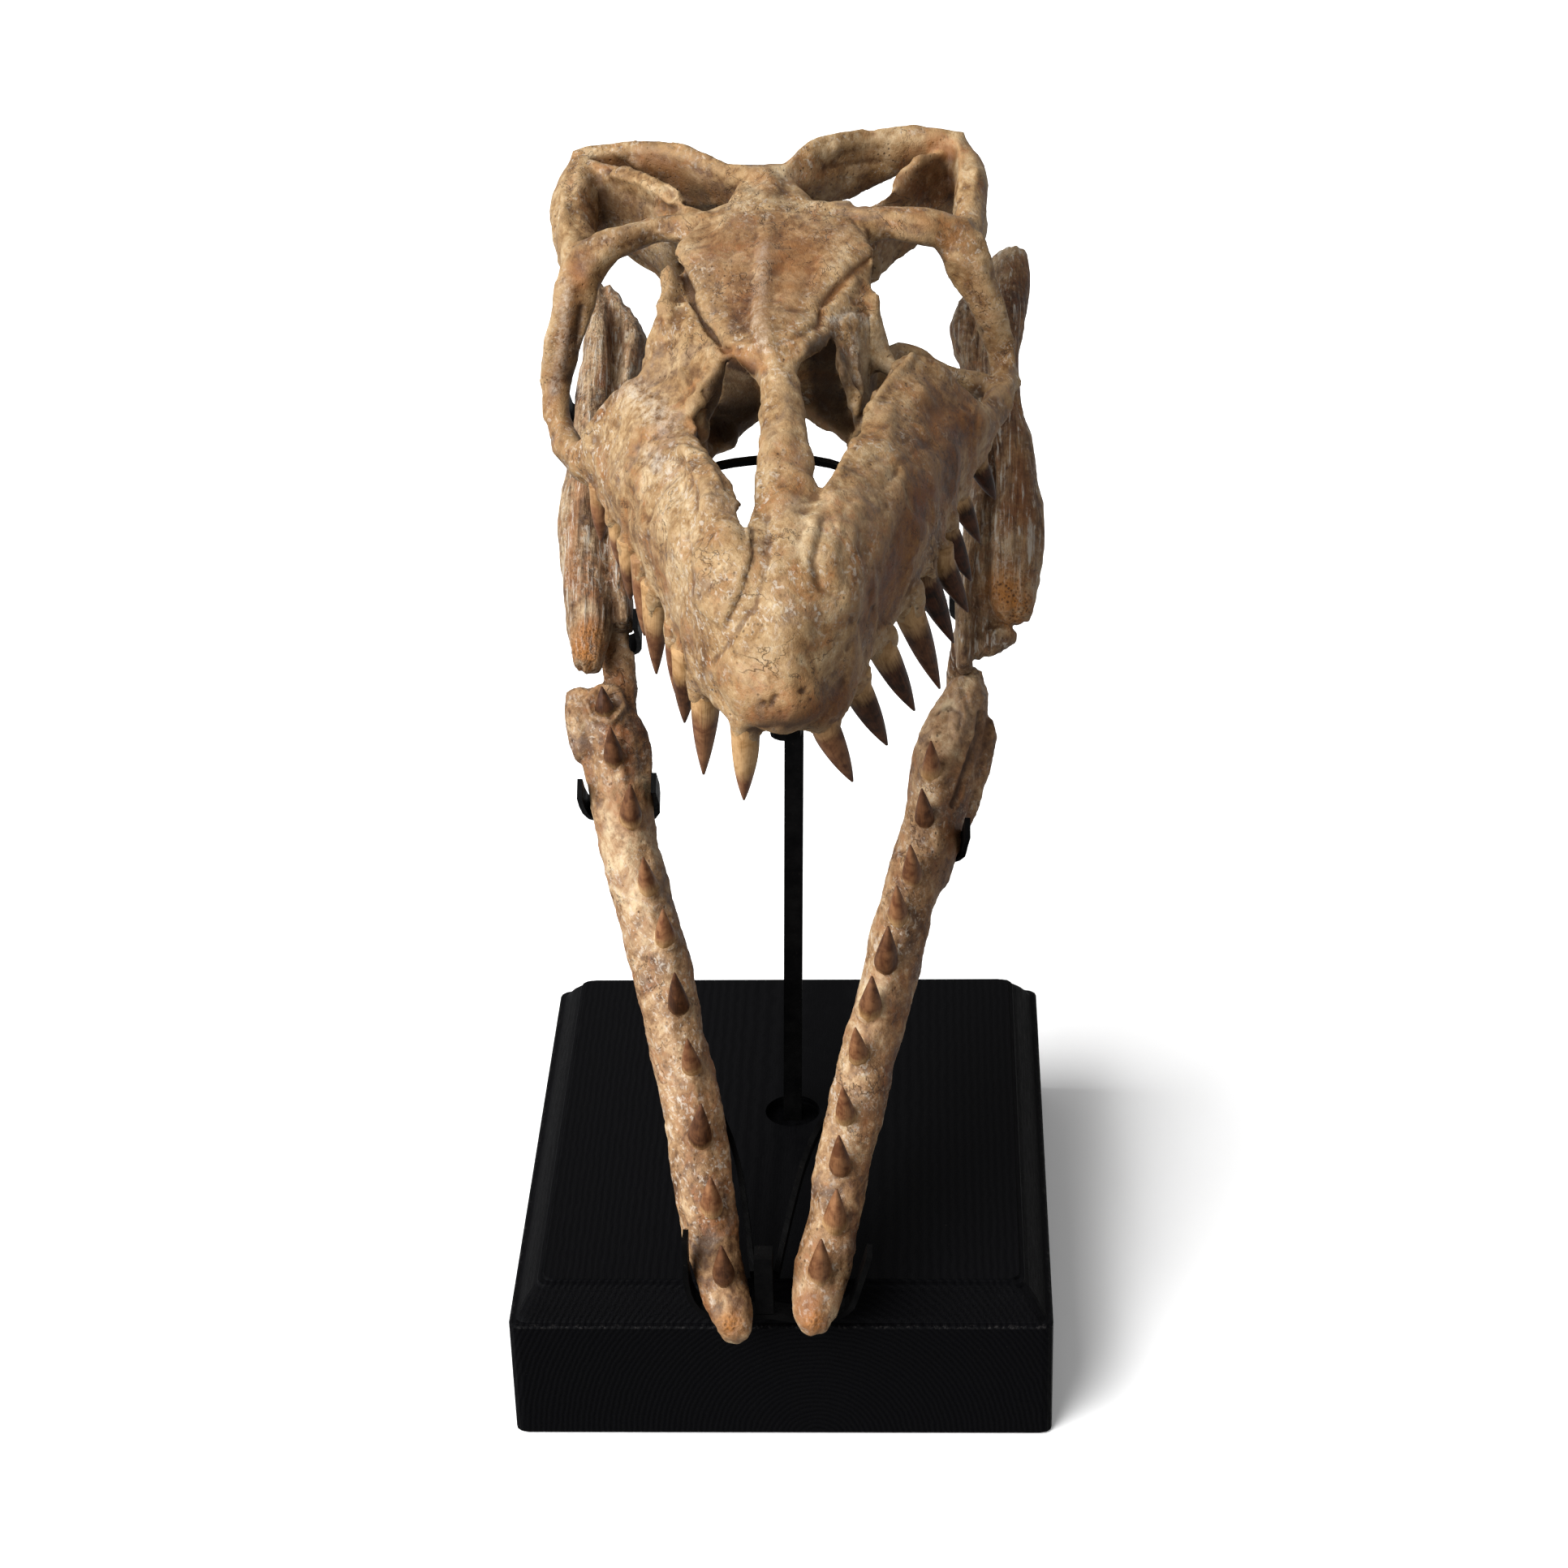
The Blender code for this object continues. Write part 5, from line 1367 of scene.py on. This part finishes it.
# Painted areas: value, outline, width of the edge, amount. Brown over the right upper jaw and dirt in the
# nostrils are painted shade; brown and dirt in the right temple are partly painted shade
SKULL_FILLS = [
    ("brown_and_shade", [(834, 300), (829, 309), (850, 344), (859, 384), (890, 425), (930, 436), (980, 418),
               (1008, 400), (1012, 376), (1052, 332), (1076, 300), (1060, 262), (960, 240), (850, 262)],
     46, 0.64),
    # Painted shade over the right upper jaw, away from the light
    ("brown_and_shade", [(1074, 396), (1122, 438), (1200, 470), (1262, 500), (1240, 560), (1180, 660), (1120, 770),
               (1060, 850), (1010, 900), (1030, 800), (1060, 700), (1080, 600), (1110, 520)], 40, 0.55),
    # Brown and dirt in the right temple: partly painted shade
    ("brown_and_shade", RIGHT_TEMPLE, 8, 0.55),
    ("dirt_and_shade", RIGHT_TEMPLE, 8, 0.35),
    ("dirt_and_shade", [(734, 222), (780, 234), (852, 256), (830, 270), (742, 284)], 6, 0.3),
    # Painted shade in the left and right nostrils
    ("dirt_and_shade", [(895, 432), (936, 440), (942, 510), (930, 536), (905, 560), (862, 530), (868, 470)],
     10, 0.75),
    ("dirt_and_shade", [(986, 420), (1030, 400), (1050, 440), (1052, 500), (1064, 516), (1046, 550), (1000, 516)],
     10, 0.75),
]
# The same kinds of table for the jaws
JAW_STROKES = [
    ([(740, 846), (760, 852), (768, 872), (752, 890), (730, 884), (722, 864), (740, 846)], 8, 2.6),
    ([(744, 864)], 10, -2.0),
    ([(700, 850), (712, 900), (722, 960)], 12, 1.4),
    ([(786, 850), (796, 905), (800, 960)], 12, 1.6),
    ([(770, 915), (776, 960)], 12, -1.6),
    ([(728, 930), (738, 990)], 10, -1.2),
    ([(1200, 840), (1184, 900), (1160, 960)], 12, 1.4),
    ([(1170, 860), (1160, 900)], 10, -1.4),
    ([(1186, 850), (1196, 880)], 7, -1.2),
    (JAW_CRACK, 7, -2.8),
    ([(1176, 850), (1164, 880), (1172, 910)], 7, -1.0),
    ([(1190, 822), (1204, 838), (1210, 860)], 7, 1.2),
    (JAW_CHIP, 4, -1.0),
]
# Brown on the right jaws, away from the light, is painted shade; brown on the left jaw and dirt in holes,
# cracks and chips are partly painted shade
JAW_PAINT = [
    ("spongy", [(728, 790), (722, 826)], 36, 1.0),
    ("spongy", [(1240, 726), (1256, 752)], 44, 1.0),
    ("spongy", [(898, 1632)], 26, 0.7),
    ("spongy", [(1004, 1628)], 20, 0.5),
    ("ochre", [(728, 770), (722, 800)], 24, 0.7),
    ("ochre", [(718, 590), (704, 650), (702, 720)], 12, 0.5),
    ("ochre", [(748, 360), (752, 420), (740, 470)], 12, 0.45),
    ("ochre", [(1256, 560), (1264, 640)], 16, 0.4),
    ("brown_and_shade", [(800, 900), (806, 960), (812, 1020)], 16, 0.6),
    ("brown_and_shade", [(748, 800), (770, 850), (790, 900)], 18, 0.7),
    ("dirt_and_shade", [(742, 866)], 10, 0.7),
    ("dirt_and_shade", [(905, 1650), (893, 1640)], 14, 0.5),
    ("ochre", [(1005, 1632), (1000, 1600)], 26, 0.6),
    ("brown_and_shade", [(770, 900), (776, 960)], 14, 0.5),
    # Painted shade on the right jaws, away from the light
    ("brown_and_shade", [(1200, 600), (1200, 780), (1170, 830)], 34, 0.5),
    ("brown_and_shade", [(1260, 330), (1250, 420), (1250, 560), (1268, 680)], 46, 0.7),
    ("brown_and_shade", [(1216, 880), (1176, 1010), (1124, 1210), (1070, 1420), (1040, 1600)], 30, 0.55),
    ("dirt_and_shade", JAW_CRACK, 5, 0.5),
    ("dirt_and_shade", JAW_CHIP, 3, 0.5),
]
# Lower teeth again, in the same order: share of bone-coloured root and darkness
LEFT_TONES = [
    (-0.1, 0.75), (0.12, 0.25), (0.0, 0.8), (0.1, 0.4), (-0.1, 0.85), (0.15, 0.2), (0.2, 0.3), (0.1, 0.6),
    (0.0, 0.75), (0.05, 0.9),
]
RIGHT_TONES = [
    (0.05, 0.45), (0.12, 0.3), (-0.1, 0.5), (0.12, 0.35), (0.1, 0.3), (0.12, 0.6), (-0.1, 0.65),
    (0.15, 0.3), (0.0, 0.45), (-0.1, 0.75), (0.2, 0.35),
]

# Bone tones: deep, tan, pale and rust
BONE = bone_material("skull_bone", colour(84, 57, 30), colour(118, 89, 55), colour(140, 114, 80),
                     colour(122, 77, 36))
JAW_BONE = bone_material("jaw_bone", colour(74, 48, 26), colour(110, 81, 52), colour(136, 107, 76),
                         colour(116, 70, 34))
REAR_BONE = bone_material("splintered_bone", colour(70, 45, 25), colour(110, 82, 54), colour(140, 115, 86),
                          colour(124, 74, 34), ((420, 34, 420), (JAW_SLOPE, 0, 0)))
ENAMEL = tooth_material()
WOOD = wood_material()
STEEL = steel_material()

# Studio: half the floor's side in metres, where the light comes from, how wide it is in degrees, its
# strength and the strength of the light from all round
FLOOR_HALF = 30.0
FLOOR_TONES = (0.90, 0.90, 0.90, 1), (0.92, 0.92, 0.92, 1)
LIGHT_FROM, LIGHT_WIDTH, LIGHT_STRENGTH, ROOM_STRENGTH = (-0.74, -0.50, 0.66), 64, 8.0, 0.5
# Width of the worn edges of the stand, in metres
WOOD_EDGE, STEEL_EDGE = 0.0006, 0.0004


def set_floor():
    """A pale floor that neither lights the undersides nor is mirrored in the part."""
    mesh = bpy.data.meshes.new("floor")
    corners = [(x * FLOOR_HALF, y * FLOOR_HALF, 0) for x, y in ((-1, -1), (1, -1), (1, 1), (-1, 1))]
    mesh.from_pydata(corners, [], [(0, 1, 2, 3)])
    floor = add_object("floor", mesh)
    paper = Paint("pale_floor", 0.85, 0.2)
    tone = paper.ramp(paper.noise(3, 2), (0.3, FLOOR_TONES[0]), (0.7, FLOOR_TONES[1]))
    mesh.materials.append(paper.done(tone, paper.bump(paper.noise(40, 3), 0.0002, 0.1)))
    floor.visible_diffuse = floor.visible_glossy = False


def set_light():
    world = bpy.data.worlds.new("studio")
    world.use_nodes = True
    background = world.node_tree.nodes["Background"]
    background.inputs["Color"].default_value = (1.0, 1.0, 1.0, 1.0)
    background.inputs["Strength"].default_value = ROOM_STRENGTH
    bpy.context.scene.world = world
    data = bpy.data.lights.new("key", "SUN")
    data.angle = math.radians(LIGHT_WIDTH)
    data.energy = LIGHT_STRENGTH
    light = add_object("key", data)
    light.rotation_euler = (-Vector(LIGHT_FROM)).to_track_quat("-Z", "Y").to_euler()
    bpy.context.scene.view_settings.view_transform = "Standard"


def dress_stand():
    """Gives the stand's own solids their materials and slightly rounded edges."""
    for node, piece in frame["nodes"].items():
        if "jaw_left" in node or "jaw_right" in node or node == "skull":
            continue
        wooden = node == "wooden_base"
        piece.data.materials[0] = WOOD if wooden else STEEL
        edge = piece.modifiers.new("worn_edges", "BEVEL")
        edge.width = WOOD_EDGE if wooden else STEEL_EDGE
        edge.segments = 2
        edge.limit_method = "ANGLE"
        edge.angle_limit = math.radians(40)


make_camera()
set_floor()
set_light()
build_skull()
build_front_jaw("left", LEFT_FRONT_JAW, LEFT_LOWER_TEETH, LEFT_TONES,
                [LEFT_JAW_CORNER, LEFT_JAW_PLATE, LEFT_JAW_LINK])
build_front_jaw("right", RIGHT_FRONT_JAW, RIGHT_LOWER_TEETH, RIGHT_TONES,
                [RIGHT_JAW_SLIVER, RIGHT_JAW_TOP, RIGHT_JAW_SPLINT])
build_rear_jaw("left", (LEFT_REAR_OUTER, LEFT_REAR_INNER, LEFT_REAR_LOBE))
build_rear_jaw("right", (RIGHT_REAR_OUTER, RIGHT_REAR_INNER, RIGHT_REAR_FLANGE, RIGHT_FLANGE_TOP,
                         RIGHT_REAR_BLADE, RIGHT_REAR_PLATE))
dress_stand()
